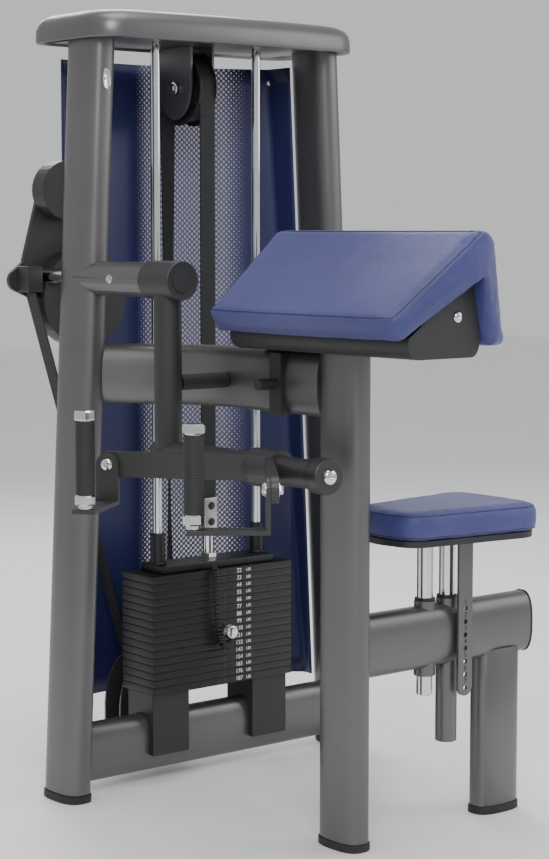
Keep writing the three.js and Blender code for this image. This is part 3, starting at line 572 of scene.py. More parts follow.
def sweep(
    mesh: bmesh.types.BMesh,
    path: list[Vector],
    outline: list[tuple[float, float]],
    side: Vector | None = None,
    ease: float = 2.0,
) -> None:
    """Sweeps a closed outline along a path and eases its ends.

    Args:
        mesh: where the sweep goes.
        path: drawing points in millimetres.
        outline: (across, up) pairs in millimetres; across lies level, up is the other way.
        side: the level direction, or None to take it from the path.
        ease: how much smaller each end ring is, in millimetres.
    """
    rings = []
    count = len(path)
    for index, spot in enumerate(path):
        along = (path[min(index + 1, count - 1)] - path[max(index - 1, 0)]).normalized()
        across = (side or along.cross(UP)).normalized()
        up = across.cross(along).normalized()
        ring = [place(*(spot + across * a + up * b)) for a, b in outline]
        if index in (0, count - 1):
            inward = along if index == 0 else -along
            small = 1 - 2 * ease / max(abs(a) for a, _ in outline) / 2
            rim = [place(*(spot + across * a * small + up * b * small)) for a, b in outline]
            step = [place(*(spot + inward * ease + across * a + up * b)) for a, b in outline]
            rings.extend([rim, step] if index == 0 else [step, rim])
        else:
            rings.append(ring)
    loft(mesh, rings)


def hex_bolt(mesh: bmesh.types.BMesh, centre: Point, axis: Vector, size: float) -> None:
    """Adds a domed washer and a hexagon head standing on a face.

    Args:
        mesh: where the bolt goes.
        centre: the drawing point on the face.
        axis: the way out of the face.
        size: radius of the head in millimetres.
    """
    washer = [(0, -1.0), (size * 1.45, -1.0), (size * 1.45, 0.8), (size * 1.3, 1.6), (0, 1.6)]
    turn(mesh, washer, centre, axis, 32)
    head = [(0, 1.2), (size, 1.2), (size, size * 0.62), (size * 0.86, size * 0.8), (0, size * 0.84)]
    turn(mesh, head, centre, axis, 6)


def dome_bolt(mesh: bmesh.types.BMesh, centre: Point, axis: Vector, size: float) -> None:
    """Adds a round-headed bolt with a socket, standing on a face.

    Args:
        mesh: where the bolt goes.
        centre: the drawing point on the face.
        axis: the way out of the face.
        size: radius of the head in millimetres.
    """
    profile = [(0, -1.0), (size, -1.0), (size, size * 0.14), (size * 0.88, size * 0.4),
               (size * 0.62, size * 0.56), (size * 0.34, size * 0.6),
               (size * 0.34, size * 0.25), (0, size * 0.25)]
    turn(mesh, profile, centre, axis, 28)


def words(
    text: str, size: float, centre: Point, facing: Vector, up: Vector, thick: float
) -> bmesh.types.BMesh:
    """Makes raised lettering.

    Args:
        text: what it says.
        size: letter height in millimetres.
        centre: the drawing point of the middle of the words.
        facing: the way the letters face.
        up: the way their tops point.
        thick: how far they stand out, in millimetres.

    Returns:
        The lettering as a bmesh in the row frame.
    """
    curve = bpy.data.curves.new("lettering", "FONT")
    curve.body = text
    curve.size = size * 1.4 * MM
    curve.align_x = "CENTER"
    curve.align_y = "CENTER"
    curve.extrude = thick * MM / 2
    holder = bpy.data.objects.new("lettering", curve)
    bpy.context.scene.collection.objects.link(holder)
    graph = bpy.context.evaluated_depsgraph_get()
    data = bpy.data.meshes.new_from_object(holder.evaluated_get(graph))
    bpy.data.objects.remove(holder)
    bpy.data.curves.remove(curve)
    mesh = bmesh.new()
    mesh.from_mesh(data)
    bpy.data.meshes.remove(data)
    right = up.cross(facing)
    turned = Matrix((right, up, facing)).transposed().to_4x4()
    bmesh.ops.transform(mesh, matrix=Matrix.Translation(place(*centre)) @ turned, verts=mesh.verts)
    return mesh


def join(target: bmesh.types.BMesh, extra: bmesh.types.BMesh) -> None:
    """Adds one bmesh to another and frees it."""
    data = bpy.data.meshes.new("joined")
    extra.to_mesh(data)
    extra.free()
    target.from_mesh(data)
    bpy.data.meshes.remove(data)


@dataclass
class Tower:
    """The two leaning uprights, the lower beam, the cap and the guide rods."""

    shop: Shop
    span: float = 750.0
    height: float = 1600.0
    lean: float = 0.049
    width: float = 66.0
    depth: float = 120.0
    beam_width: float = 62.0
    beam_height: float = 124.0
    beam_z: float = 90.0
    foot: float = 16.0
    lip: float = 2.5
    rod_radius: float = 10.0
    rods: tuple = (237.0, 507.0)
    cap_rim: float = 1571.0
    cap_height: float = 62.0

    def build(self) -> None:
        """Builds every piece of the tower."""
        for side, x, lean in (("left", 0.0, self.lean), ("right", self.span, -self.lean)):
            self.upright(side, x, lean)
        self.lower_beam()
        self.cap()
        self.guide_rods()
        self.badge()
        looks = self.shop.finishes
        self.shop.dress("top_plate", looks.silver, 1.0)
        for node in ("stack_rest_left", "stack_rest_right"):
            self.shop.dress(node, looks.plastic, 2.0)

    def upright(self, side: str, x: float, lean: float) -> None:
        """Builds one upright with its rubber foot."""
        looks = self.shop.finishes
        mesh = bmesh.new()
        path = [Vector((x + lean * z, 0.0, z)) for z in (self.foot + 0.3, 400.0, 1087.0, self.height)]
        outline = oval(self.width, self.depth)
        sweep(mesh, path, outline, RIGHT)
        self.shop.finish(f"{side}_upright_tube", mesh, looks.silver, Body.FRAME, (f"{side}_upright",))
        mesh = bmesh.new()
        wide = oval(self.width + 2 * self.lip, self.depth + 2 * self.lip)
        sweep(mesh, [Vector((x + lean * z, 0.0, z)) for z in (0.0, self.foot)], wide, RIGHT, 1.5)
        self.shop.finish(f"{side}_upright_foot", mesh, looks.rubber, Body.FRAME, (f"{side}_foot",))

    def lower_beam(self) -> None:
        """Builds the oval beam between the uprights."""
        looks = self.shop.finishes
        mesh = bmesh.new()
        drift = self.lean * self.beam_z
        inset = self.width / 2 - 9.0
        start = inset + drift
        end = self.span - inset - drift
        outline = oval(self.beam_width, self.beam_height)
        sweep(mesh, [Vector((x, 0.0, self.beam_z)) for x in (start, end)], outline, FRONT, 0.5)
        self.shop.finish("lower_cross_beam", mesh, looks.silver, Body.FRAME, ("lower_beam",))

    def cap_ring(self, inset: float, z: float) -> list[Vector]:
        """Returns the cap's outline drawn in by an inset, at a height, as row-frame points."""
        left, right, front, back = 28.0 + inset, 722.0 - inset, -124.0 + inset, 172.0 - inset
        corner = 62.0
        ends = [
            ((left + corner, back), (left, back), (left, back - corner)),
            ((left, front + corner + 34), (left, front + 26), (left + corner, front + 14)),
            ((left + corner, front + 14), ((left + right) / 2, front - 14), (right - corner, front + 14)),
            ((right - corner, front + 14), (right, front + 26), (right, front + corner + 34)),
            ((right, back - corner), (right, back), (right - corner, back)),
        ]
        ring = []
        steps = 12
        for begin, pull, finish in ends:
            for step in range(steps):
                ring.append(place(*bend(begin, pull, finish, step / steps), z))
        return ring

    def cap(self) -> None:
        """Builds the moulded cap: a rounded rim, a crowned top and an open underside."""
        mesh = bmesh.new()
        rim = self.cap_rim
        top = rim + self.cap_height
        layers = [(34.0, top - 14), (10.0, rim + 10), (5.0, rim + 1), (2.0, rim), (0.6, rim + 1.5),
                  (0.0, rim + 5), (0.4, rim + 26), (3.2, top - 24), (9.5, top - 14), (21.0, top - 7),
                  (40.0, top - 3),
                  (70.0, top - 1), (104.0, top)]
        rings = [self.cap_ring(inset, z) for inset, z in layers]
        loft(mesh, rings)
        self.shop.finish("cap_shell", mesh, self.shop.finishes.silver, Body.FRAME, ("top_cap",), angle=50.0)

    def guide_rods(self) -> None:
        """Builds the two chrome guide rods."""
        bottom = self.beam_z + self.beam_height / 2 + 0.3
        for side, x in zip(("left", "right"), self.rods):
            mesh = bmesh.new()
            turn(mesh, rod(self.rod_radius, bottom, 1575.7), (x, 0.0, 0.0), UP)
            self.shop.finish(f"guide_rod_{side}_bar", mesh, self.shop.finishes.chrome, Body.FRAME,
                             (f"guide_rod_{side}",))

    def badge(self) -> None:
        """Builds the plain oval badge near the top of the left upright."""
        z = 1490.0
        x = self.lean * z
        mesh = bmesh.new()
        profile = [(0, -1.0), (15.0, -1.0), (15.0, 0.8), (13.6, 2.0), (12.6, 1.5), (0, 1.7)]
        made = turn(mesh, profile, (x, -self.depth / 2, z), FRONT)
        middle = place(x, -self.depth / 2, z)
        bmesh.ops.scale(mesh, verts=made, vec=(0.62, 1.0, 1.45), space=Matrix.Translation(-middle))
        self.shop.finish("upright_badge", mesh, self.shop.finishes.chrome, Body.FRAME)


@dataclass
class WeightStack:
    """The plates, the head that rides the rods, the selector and its lanyard."""

    shop: Shop
    x: float = 372.0
    width: float = 376.0
    depth: float = 118.0
    base: float = 200.0
    plates: int = 16
    lifted: int = 9
    pitch: float = 15.9
    rods: tuple = (237.0, 507.0)
    first_weight: int = 22
    weight_step: int = 11

    @property
    def top(self) -> float:
        """Top of the plates."""
        return self.base + self.plates * self.pitch

    @property
    def selector_z(self) -> float:
        """Height of the selector pin."""
        return self.base + (self.plates - self.lifted + 0.5) * self.pitch

    def build(self) -> None:
        """Builds every piece of the stack."""
        resting = self.plates - self.lifted
        self.slabs("resting_slabs", 0, resting, Body.FRAME, "resting_plates")
        self.slabs("lifted_slabs", resting, self.plates, Body.STACK, "lifted_plates")
        self.marks("resting_marks", 0, resting, Body.FRAME)
        self.marks("lifted_marks", resting, self.plates, Body.STACK)
        self.head()
        self.selector()
        self.lanyard()

    def slabs(self, name: str, first: int, last: int, body: Body, node: str) -> None:
        """Builds a run of iron plates, one slab each, with eased edges."""
        mesh = bmesh.new()
        half = self.width / 2
        for index in range(first, last):
            low = self.base + index * self.pitch
            high = low + self.pitch - 0.35
            bar(mesh, (self.x - half, -self.depth / 2, low), (self.x + half, self.depth / 2, high), 1.5)
            for side in (-1, 1):
                bar(mesh, (self.x + side * 17 - 8, -self.depth / 2 - 0.5, low + 2.2),
                    (self.x + side * 17 + 8, -self.depth / 2 + 3, high - 2.2), 0.4, 1)
        self.shop.finish(name, mesh, self.shop.finishes.iron, body, (node,))
        mesh = bmesh.new()
        for index in range(first, last):
            middle = self.base + (index + 0.5) * self.pitch
            if abs(middle - self.selector_z) < 1.0:
                continue
            ring = [(3.4, 0.5), (5.6, 0.5), (5.6, -1.0), (0, -1.0), (0, 0.15), (3.4, 0.15), (3.4, 0.5)]
            turn(mesh, ring, (self.x, -self.depth / 2, middle), FRONT, 20)
        self.shop.finish(f"{name}_pin_holes", mesh, self.shop.finishes.plastic, body)

    def marks(self, name: str, first: int, last: int, body: Body) -> None:
        """Builds the printed weight of each plate, heaviest at the bottom."""
        mesh = bmesh.new()
        for index in range(first, last):
            middle = self.base + (index + 0.5) * self.pitch
            weight = self.first_weight + (self.plates - 1 - index) * self.weight_step
            for text, offset, size in ((str(weight), 40.0, 9.4), ("LBS", 66.0, 6.4)):
                spot = (self.x + offset, -self.depth / 2 - 0.15, middle)
                join(mesh, words(text, size, spot, FRONT, UP, 0.5))
        self.shop.finish(name, mesh, self.shop.finishes.label, body, smooth=False)

    def head(self) -> None:
        """Builds the head plate with its sleeves on the rods."""
        looks = self.shop.finishes
        mesh = bmesh.new()
        low = self.top
        bar(mesh, (self.x - 150, -42, low + 0.4), (self.x + 150, 42, low + 16), 2.0)
        for x in self.rods:
            turn(mesh, tube(16.5, 10.6, low + 15.0, low + 84.0, 1.5), (x, 0, 0), UP)
            turn(mesh, tube(19.5, 12.0, low + 15.5, low + 22.0, 1.5), (x, 0, 0), UP)
        self.shop.finish("stack_head_block", mesh, looks.iron, Body.STACK, ("stack_head",))
        mesh = bmesh.new()
        bar(mesh, (self.x - 17, -13, 533.3), (self.x + 17, 13, 605), 2.5)
        self.shop.finish("belt_anchor_block", mesh, looks.steel, Body.STACK, ("belt_anchor",))
        mesh = bmesh.new()
        for z in (552.0, 587.0):
            hex_bolt(mesh, (self.x, -13, z), FRONT, 6.0)
            hex_bolt(mesh, (self.x, 13, z), BACK, 6.0)
        self.shop.finish("belt_anchor_bolts", mesh, looks.plastic, Body.STACK)

    def selector(self) -> None:
        """Builds the selector stem and the pin with its turned knob."""
        looks = self.shop.finishes
        mesh = bmesh.new()
        turn(mesh, rod(12.0, 204.0, 531.0, 1.5), (self.x, 0, 0), UP)
        nut = [(12.0, self.top + 16.2), (19.0, self.top + 16.2), (19.0, self.top + 29), (12.0, self.top + 29),
               (12.0, self.top + 16.2)]
        turn(mesh, nut, (self.x, 0, 0), UP, 6)
        self.shop.finish("selector_stem_bar", mesh, looks.chrome, Body.STACK, ("selector_stem",))
        mesh = bmesh.new()
        shape = [(0, 0), (11, 0), (13.4, 0.8), (14.6, 2.6), (15, 5), (14.2, 6.5), (15, 8), (14.2, 9.5),
                 (15, 11), (14.2, 12.5), (15, 14), (14.2, 15.5), (15, 17), (14.6, 20), (12, 24), (7, 25.5),
                 (6, 29), (4, 30),
                 (4, 77), (3, 80), (0, 80)]
        turn(mesh, shape, (self.x, -self.depth / 2 - 31, self.selector_z), BACK)
        self.shop.finish("selector_pin_knob", mesh, looks.chrome, Body.PIN, ("selector_pin",))

    def lanyard(self) -> None:
        """Builds the coiled lanyard that hangs from the head to the pin's knob."""
        line = [Vector(spot) for spot in (
            (self.x - 36, -60, self.top + 13), (self.x - 36, -71, self.top + 1),
            (self.x - 35, -74, self.top - 24),
            (self.x - 33, -75, self.top - 60), (self.x - 31, -76, self.selector_z + 36),
            (self.x - 29, -78, self.selector_z + 2), (self.x - 24, -80, self.selector_z - 22),
            (self.x - 13, -81, self.selector_z - 31), (self.x - 3, -81, self.selector_z - 27),
            (self.x - 1, -81, self.selector_z - 15))]
        count = 680
        coils = 34
        wire = 1.7
        reach = 6.6
        path = []
        for step in range(count + 1):
            share = step / count
            spot = share * (len(line) - 1)
            knot = min(int(spot), len(line) - 2)
            centre = line[knot].lerp(line[knot + 1], spot - knot)
            ahead = (line[knot + 1] - line[knot]).normalized()
            side = ahead.cross(FRONT).normalized()
            out = side.cross(ahead)
            swell = reach * min(1.0, 14 * share, 14 * (1 - share))
            angle = 2 * math.pi * coils * share
            path.append(place(*(centre + side * math.cos(angle) * swell + out * math.sin(angle) * swell)))
        curve = bpy.data.curves.new("lanyard_coil", "CURVE")
        curve.dimensions = "3D"
        spline = curve.splines.new("POLY")
        spline.points.add(len(path) - 1)
        for target, point in zip(spline.points, path):
            target.co = (*point, 1.0)
        curve.bevel_depth = wire * MM
        curve.bevel_resolution = 2
        curve.use_fill_caps = True
        holder = bpy.data.objects.new("lanyard_line", curve)
        bpy.context.scene.collection.objects.link(holder)
        graph = bpy.context.evaluated_depsgraph_get()
        data = bpy.data.meshes.new_from_object(holder.evaluated_get(graph))
        bpy.data.objects.remove(holder)
        bpy.data.curves.remove(curve)
        material, slot = self.shop.finishes.plastic
        data.materials.clear()
        data.materials.append(material)
        made = bpy.data.objects.new("lanyard_coil", data)
        bpy.context.scene.collection.objects.link(made)
        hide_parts("lanyard")
        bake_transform(made)


@dataclass
class BeltDrive:
    """The pulleys, their carriers and the four runs of flat belt."""

    shop: Shop
    stack_x: float = 372.0
    top_y: float = 70.0
    top_z: float = 1488.0
    top_ride: float = 71.8
    low_x: float = 327.0
    low_y: float = 140.0
    low_z: float = 150.0
    low_ride: float = 43.8
    thick: float = 3.0
    width: float = 38.0
    lift: float = 270.0

    def build(self) -> None:
        """Builds every piece of the drive."""
        looks = self.shop.finishes
        self.wheel("top_pulley_turned", 70.0, (self.stack_x, self.top_y, self.top_z), RIGHT,
                   Body.TOP_PULLEY, "top_pulley")
        self.wheel("low_pulley_turned", 42.0, (self.low_x, self.low_y, self.low_z), BACK,
                   Body.LOW_PULLEY, "low_pulley")
        self.shop.dress("pulley_hanger", looks.silver, 1.0)
        self.shop.dress("low_pulley_carrier", looks.silver, 1.0)
        mesh = bmesh.new()
        for side in (-1, 1):
            hex_bolt(mesh, (self.stack_x + side * 36.0, self.top_y, self.top_z), Vector((side, 0, 0)), 9.5)
        hex_bolt(mesh, (self.low_x, self.low_y + 33.0, self.low_z), BACK, 9.5)
        hex_bolt(mesh, (self.low_x, self.low_y - 37.0, self.low_z), FRONT, 9.5)
        self.shop.finish("pulley_bolts", mesh, looks.chrome, Body.FRAME)
        self.over_top()
        self.lift_run()
        self.rear_run()
        self.cam_run()

    def wheel(self, name: str, radius: float, centre: Point, axis: Vector, body: Body, node: str) -> None:
        """Builds a pulley with rounded flanges, a dished web and a bearing boss."""
        rim = radius + 9
        half = [(9.4, 17), (19, 17), (20, 13), (radius - 14, 9), (radius - 8, 17), (rim - 2, 22), (rim, 21),
                (rim, 19.6), (radius, 19.2)]
        profile = [(r, z) for r, z in half] + [(r, -z) for r, z in reversed(half)] + [half[0]]
        mesh = bmesh.new()
        turn(mesh, profile, centre, axis, 64)
        self.shop.finish(name, mesh, self.shop.finishes.plastic, body, (node,))

    def strip(
        self,
        name: str,
        spots: list[tuple[Vector, Vector]],
        node: str,
        thick_axis: list[Vector],
        body: Body | None = Body.FRAME,
    ) -> bpy.types.Object:
        """Builds a belt run with a UV map that runs across its width.

        Args:
            name: the piece's name.
            spots: (centre, width direction) pairs along the run, in drawing millimetres.
            node: the CAD node it stands for.
            thick_axis: the belt's thickness direction at each spot.
            body: what it rides on, or None if it bends between two bodies.

        Returns:
            The new object.
        """
        mesh = bmesh.new()
        rings = []
        half = self.width / 2
        for (centre, across), out in zip(spots, thick_axis):
            ring = [centre + across * a * half + out * b * self.thick / 2
                    for a, b in ((-1, -1), (-0.34, -1), (0.34, -1), (1, -1),
                                 (1, 1), (0.34, 1), (-0.34, 1), (-1, 1))]
            rings.append([place(*point) for point in ring])
        loft(mesh, rings)
        uv = mesh.loops.layers.uv.new("belt")
        shares = {}
        for index, ring in enumerate(rings):
            for number, point in enumerate(ring):
                across = (-1, -0.34, 0.34, 1, 1, 0.34, -0.34, -1)[number]
                shares[tuple(round(v, 7) for v in point)] = ((across + 1) / 2, index / len(rings))
        for face in mesh.faces:
            for loop in face.loops:
                key = tuple(round(v, 7) for v in loop.vert.co)
                loop[uv].uv = shares.get(key, (0.0, 0.0))
        return self.shop.finish(name, mesh, self.shop.finishes.belt, body, (node,), angle=50.0)

    def over_top(self) -> None:
        """Builds the run over the upper pulley."""
        side = RIGHT
        spots = []
        outs = []
        steps = 40
        start = self.top_z - 59.7
        for z in (start, (start + self.top_z) / 2):
            spots.append((Vector((self.stack_x, self.top_y - self.top_ride, z)), side))
            outs.append(FRONT)
        for step in range(steps + 1):
            angle = math.pi - math.pi * step / steps
            out = Vector((0, math.cos(angle), math.sin(angle)))
            spots.append((Vector((self.stack_x, self.top_y, self.top_z)) + out * self.top_ride, side))
            outs.append(out)
        for z in ((start + self.top_z) / 2, start):
            spots.append((Vector((self.stack_x, self.top_y + self.top_ride, z)), side))
            outs.append(BACK)
        self.strip("belt_over_pulley", spots, "belt_over_top", outs)

    def lift_run(self) -> None:
        """Builds the run from the anchor up to the pulley, which shortens as the stack rises."""
        bottom, top = 605.3, self.top_z - 60.3
        y = self.top_y - self.top_ride
        spots = [(Vector((self.stack_x, y, bottom + (top - bottom) * i / 24)), RIGHT)
                 for i in range(25)]
        run = self.strip("belt_lift", spots, "belt_lift_run", [FRONT] * 25)
        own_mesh(run)

    def rear_run(self) -> None:
        """Builds the rear run, which takes a quarter turn on its way down."""
        top = Vector((self.stack_x, self.top_y + self.top_ride, self.top_z - 60.3))
        low = Vector((self.low_x + self.low_ride, self.low_y, self.low_z + 0.3))
        steps = 48
        spots = []
        outs = []
        for step in range(steps + 1):
            share = step / steps
            turned = math.pi / 2 * (1 - share)
            spots.append((low.lerp(top, share), Vector((math.cos(turned), math.sin(turned), 0))))
            outs.append(Vector((-math.sin(turned), math.cos(turned), 0)))
        self.strip("belt_rear", spots, "belt_rear_run", outs)

    def cam_run(self) -> None:
        """Builds the run round the low pulley and up to the clamp on the lever."""
        goal = Vector((13.0, self.low_y, 1053.0))
        hub = Vector((self.low_x, self.low_y, self.low_z))
        reach = Vector((goal.x - hub.x, goal.z - hub.z))
        leave = math.atan2(reach.y, reach.x) + math.acos(self.low_ride / reach.length)
        side = BACK
        spots = []
        outs = []
        steps = 40
        for step in range(steps + 1):
            angle = (leave - 2 * math.pi) * step / steps
            out = Vector((math.cos(angle), 0, math.sin(angle)))
            spots.append((hub + out * self.low_ride, side))
            outs.append(out)
        start = spots[-1][0]
        for step in range(1, 25):
            spots.append((start.lerp(goal, step / 24), side))
            outs.append(outs[steps])
        run = self.strip("belt_to_cam", spots, "belt_cam_run", outs, None)
        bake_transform(run)


@dataclass
class MainFrame:
    """The tube to the arm pad, its post, the seat beam and the rear leg."""

    shop: Shop
    width: float = 62.0
    depth: float = 112.0
    tall: float = 124.0
    tube_z: float = 890.0
    seat_z: float = 385.0
    post_top: float = 955.7
    seat_end: float = 715.0
    leg_x: float = 636.0
    foot: float = 16.0
    lip: float = 2.5

    def build(self) -> None:
        """Builds every piece of the main frame."""
        self.main_tube()
        self.post()
        self.beam()
        self.leg()
        looks = self.shop.finishes
        self.shop.dress("tube_saddle", looks.graphite, 1.2)
        self.shop.dress("pad_bracket", looks.graphite, 2.0)
        self.shop.dress("lever_stop", looks.rubber, 1.6)
        self.shop.dress("index_latch", looks.plastic, 0.4)
        self.shop.dress("pivot_tube", looks.silver, 1.0)
        mesh = bmesh.new()
        for side in (-1, 1):
            dome_bolt(mesh, (254.0, -640.0 + side * 254.0, 1030.0), Vector((0, side, 0)), 11.0)
        hex_bolt(mesh, (55.0 - 35.0, -140.0, 1087.0), LEFT, 6.0)
        self.shop.finish("bracket_bolts", mesh, looks.chrome, Body.FRAME)

    def main_tube(self) -> None:
        """Builds the bent oval tube from the left upright to the pad post."""
        start = Vector((43.6, 0.0, self.tube_z))
        knee = Vector((POST_X, -190.0, self.tube_z))
        begin = start.lerp(knee, 0.62)
        end = Vector((POST_X, -300.0, self.tube_z))
        away = (knee - start).normalized()
        path = [start + away * 28.0, start.lerp(begin, 0.6)]
        for step in range(17):
            share = step / 16
            path.append(begin * (1 - share) ** 2 + knee * 2 * share * (1 - share) + end * share ** 2)
        path.append(Vector((POST_X, -430.0, self.tube_z)))
        path.append(Vector((POST_X, POST_Y + self.depth / 2 - 8.0, self.tube_z)))
        mesh = bmesh.new()
        sweep(mesh, path, oval(self.width, self.tall), None, 0.5)
        self.shop.finish("bent_main_tube", mesh, self.shop.finishes.silver, Body.FRAME, ("main_tube",))

    def post(self) -> None:
        """Builds the post under the arm pad and its foot."""
        looks = self.shop.finishes
        mesh = bmesh.new()
        spots = [Vector((POST_X, POST_Y, z)) for z in (self.foot + 0.3, 300.0, 700.0, self.post_top)]
        sweep(mesh, spots, oval(self.width, self.depth), RIGHT, 0.5)
        self.shop.finish("arm_pad_post", mesh, looks.silver, Body.FRAME, ("pad_post",))
        mesh = bmesh.new()
        outline = oval(self.width + 2 * self.lip, self.depth + 2 * self.lip)
        sweep(mesh, [Vector((POST_X, POST_Y, z)) for z in (0.0, self.foot)], outline, RIGHT, 1.5)
        self.shop.finish("arm_pad_post_foot", mesh, looks.rubber, Body.FRAME, ("pad_post_foot",))

    def beam(self) -> None:
        """Builds the seat beam and a plug in its end."""
        looks = self.shop.finishes
        mesh = bmesh.new()
        start = POST_X + self.width / 2 - 7.0
        spots = [Vector((x, POST_Y, self.seat_z)) for x in (start, 450.0, self.seat_end - 6.0)]
        sweep(mesh, spots, oval(self.width, self.tall), FRONT, 0.5)
        self.shop.finish("seat_beam_tube", mesh, looks.silver, Body.FRAME, ("seat_beam",))
        mesh = bmesh.new()
        spots = [Vector((x, POST_Y, self.seat_z)) for x in (self.seat_end - 5.8, self.seat_end)]
        sweep(mesh, spots, oval(self.width + 3, self.tall + 3), FRONT, 2.0)
        self.shop.finish("seat_beam_plug", mesh, looks.plastic, Body.FRAME)

    def leg(self) -> None:
        """Builds the rear leg and its foot."""
        looks = self.shop.finishes
        narrow = self.width - 2
        mesh = bmesh.new()
        spots = [Vector((self.leg_x, POST_Y, z)) for z in (self.foot + 0.3, 150.0, self.seat_z - 45.0)]
        sweep(mesh, spots, oval(self.depth, narrow), RIGHT, 0.5)
        self.shop.finish("rear_leg_tube", mesh, looks.silver, Body.FRAME, ("rear_leg",))
        mesh = bmesh.new()
        outline = oval(self.depth + 2 * self.lip, narrow + 2 * self.lip)
        sweep(mesh, [Vector((self.leg_x, POST_Y, z)) for z in (0.0, self.foot)], outline, RIGHT, 1.5)
        self.shop.finish("rear_leg_boot", mesh, looks.rubber, Body.FRAME, ("rear_leg_foot",))


@dataclass
class Cushion:
    shop: Shop
    voxel: float = 0.0045
    pressure: float = 4.0
    frames: int = 16

    def stuff(
        self, name: str, mesh: bmesh.types.BMesh, body: Body, node: str, cap: float
    ) -> bpy.types.Object:
        """Turns a pad shape into a stuffed cushion.

        Args:
            name: the piece's name.
            mesh: the closed shape, slightly smaller than the pad.
            body: what it rides on.
            node: the CAD node it stands for.
            cap: how far a point may swell, in millimetres.

        Returns:
            The cushion.
        """
        pad = self.shop.finish(name, mesh, self.shop.finishes.vinyl, body, (node,), angle=180.0)
        bpy.context.view_layer.objects.active = pad
        grid = pad.modifiers.new("grid", "REMESH")
        grid.mode = "VOXEL"
        grid.voxel_size = self.voxel
        grid.use_smooth_shade = True
        self._apply(pad)
        rest = [vert.co.copy() for vert in pad.data.vertices]
        cloth = pad.modifiers.new("stuffing", "CLOTH")
        cloth.settings.use_pressure = True
        cloth.settings.uniform_pressure_force = self.pressure
        cloth.settings.effector_weights.gravity = 0.0
        cloth.point_cache.frame_end = self.frames
        for step in range(1, self.frames + 1):
            bpy.context.scene.frame_set(step)
        self._apply(pad)
        bpy.context.scene.frame_set(1)
        for vert, start in zip(pad.data.vertices, rest):
            move = vert.co - start
            if move.length > cap * MM:
                vert.co = start + move.normalized() * cap * MM
        soft = bmesh.new()
        soft.from_mesh(pad.data)
        for _ in range(3):
            bmesh.ops.smooth_vert(soft, verts=soft.verts, factor=0.5, use_axis_x=True, use_axis_y=True,
                                  use_axis_z=True)
        soft.to_mesh(pad.data)
        soft.free()
        return pad

    def _apply(self, pad: bpy.types.Object) -> None:
        """Bakes the pad's modifiers into its mesh."""
        graph = bpy.context.evaluated_depsgraph_get()
        data = bpy.data.meshes.new_from_object(pad.evaluated_get(graph))
        pad.modifiers.clear()
        old = pad.data
        pad.data = data
        bpy.data.meshes.remove(old)
        for face in data.polygons:
            face.use_smooth = True

    def piping(
        self, name: str, body: Body, pad: bpy.types.Object, line: list[Vector], radius: float
    ) -> bpy.types.Object:
        """Builds a thin raised seam that follows a pad's surface under a closed line.

        Args:
            name: the piece's name.
            body: what it rides on.
            pad: the cushion that the seam lies on.
            line: closed line of drawing points near the surface.
            radius: radius of the seam, in millimetres.

        Returns:
            The seam.
        """
        skin = BVHTree.FromPolygons([vert.co for vert in pad.data.vertices],
                                    [face.vertices for face in pad.data.polygons])
        thick = radius * MM
        laid = []
        for spot in line:
            nearest, normal, _, _ = skin.find_nearest(Vector(place(*spot)))
            laid.append((nearest + normal * thick * 0.2, normal))
        count = len(laid)
        rings = []
        for index, (spot, normal) in enumerate(laid):
            along = (laid[(index + 1) % count][0] - laid[index - 1][0]).normalized()
            side = along.cross(normal).normalized()
            up = side.cross(along)
            rings.append([spot + side * thick * math.cos(a) + up * thick * math.sin(a)
                          for a in (2 * math.pi * k / 8 for k in range(8))])
        mesh = bmesh.new()
        rings.append(rings[0])
        loft(mesh, rings, caps=False)
        return self.shop.finish(name, mesh, self.shop.finishes.thread, body, angle=180.0)


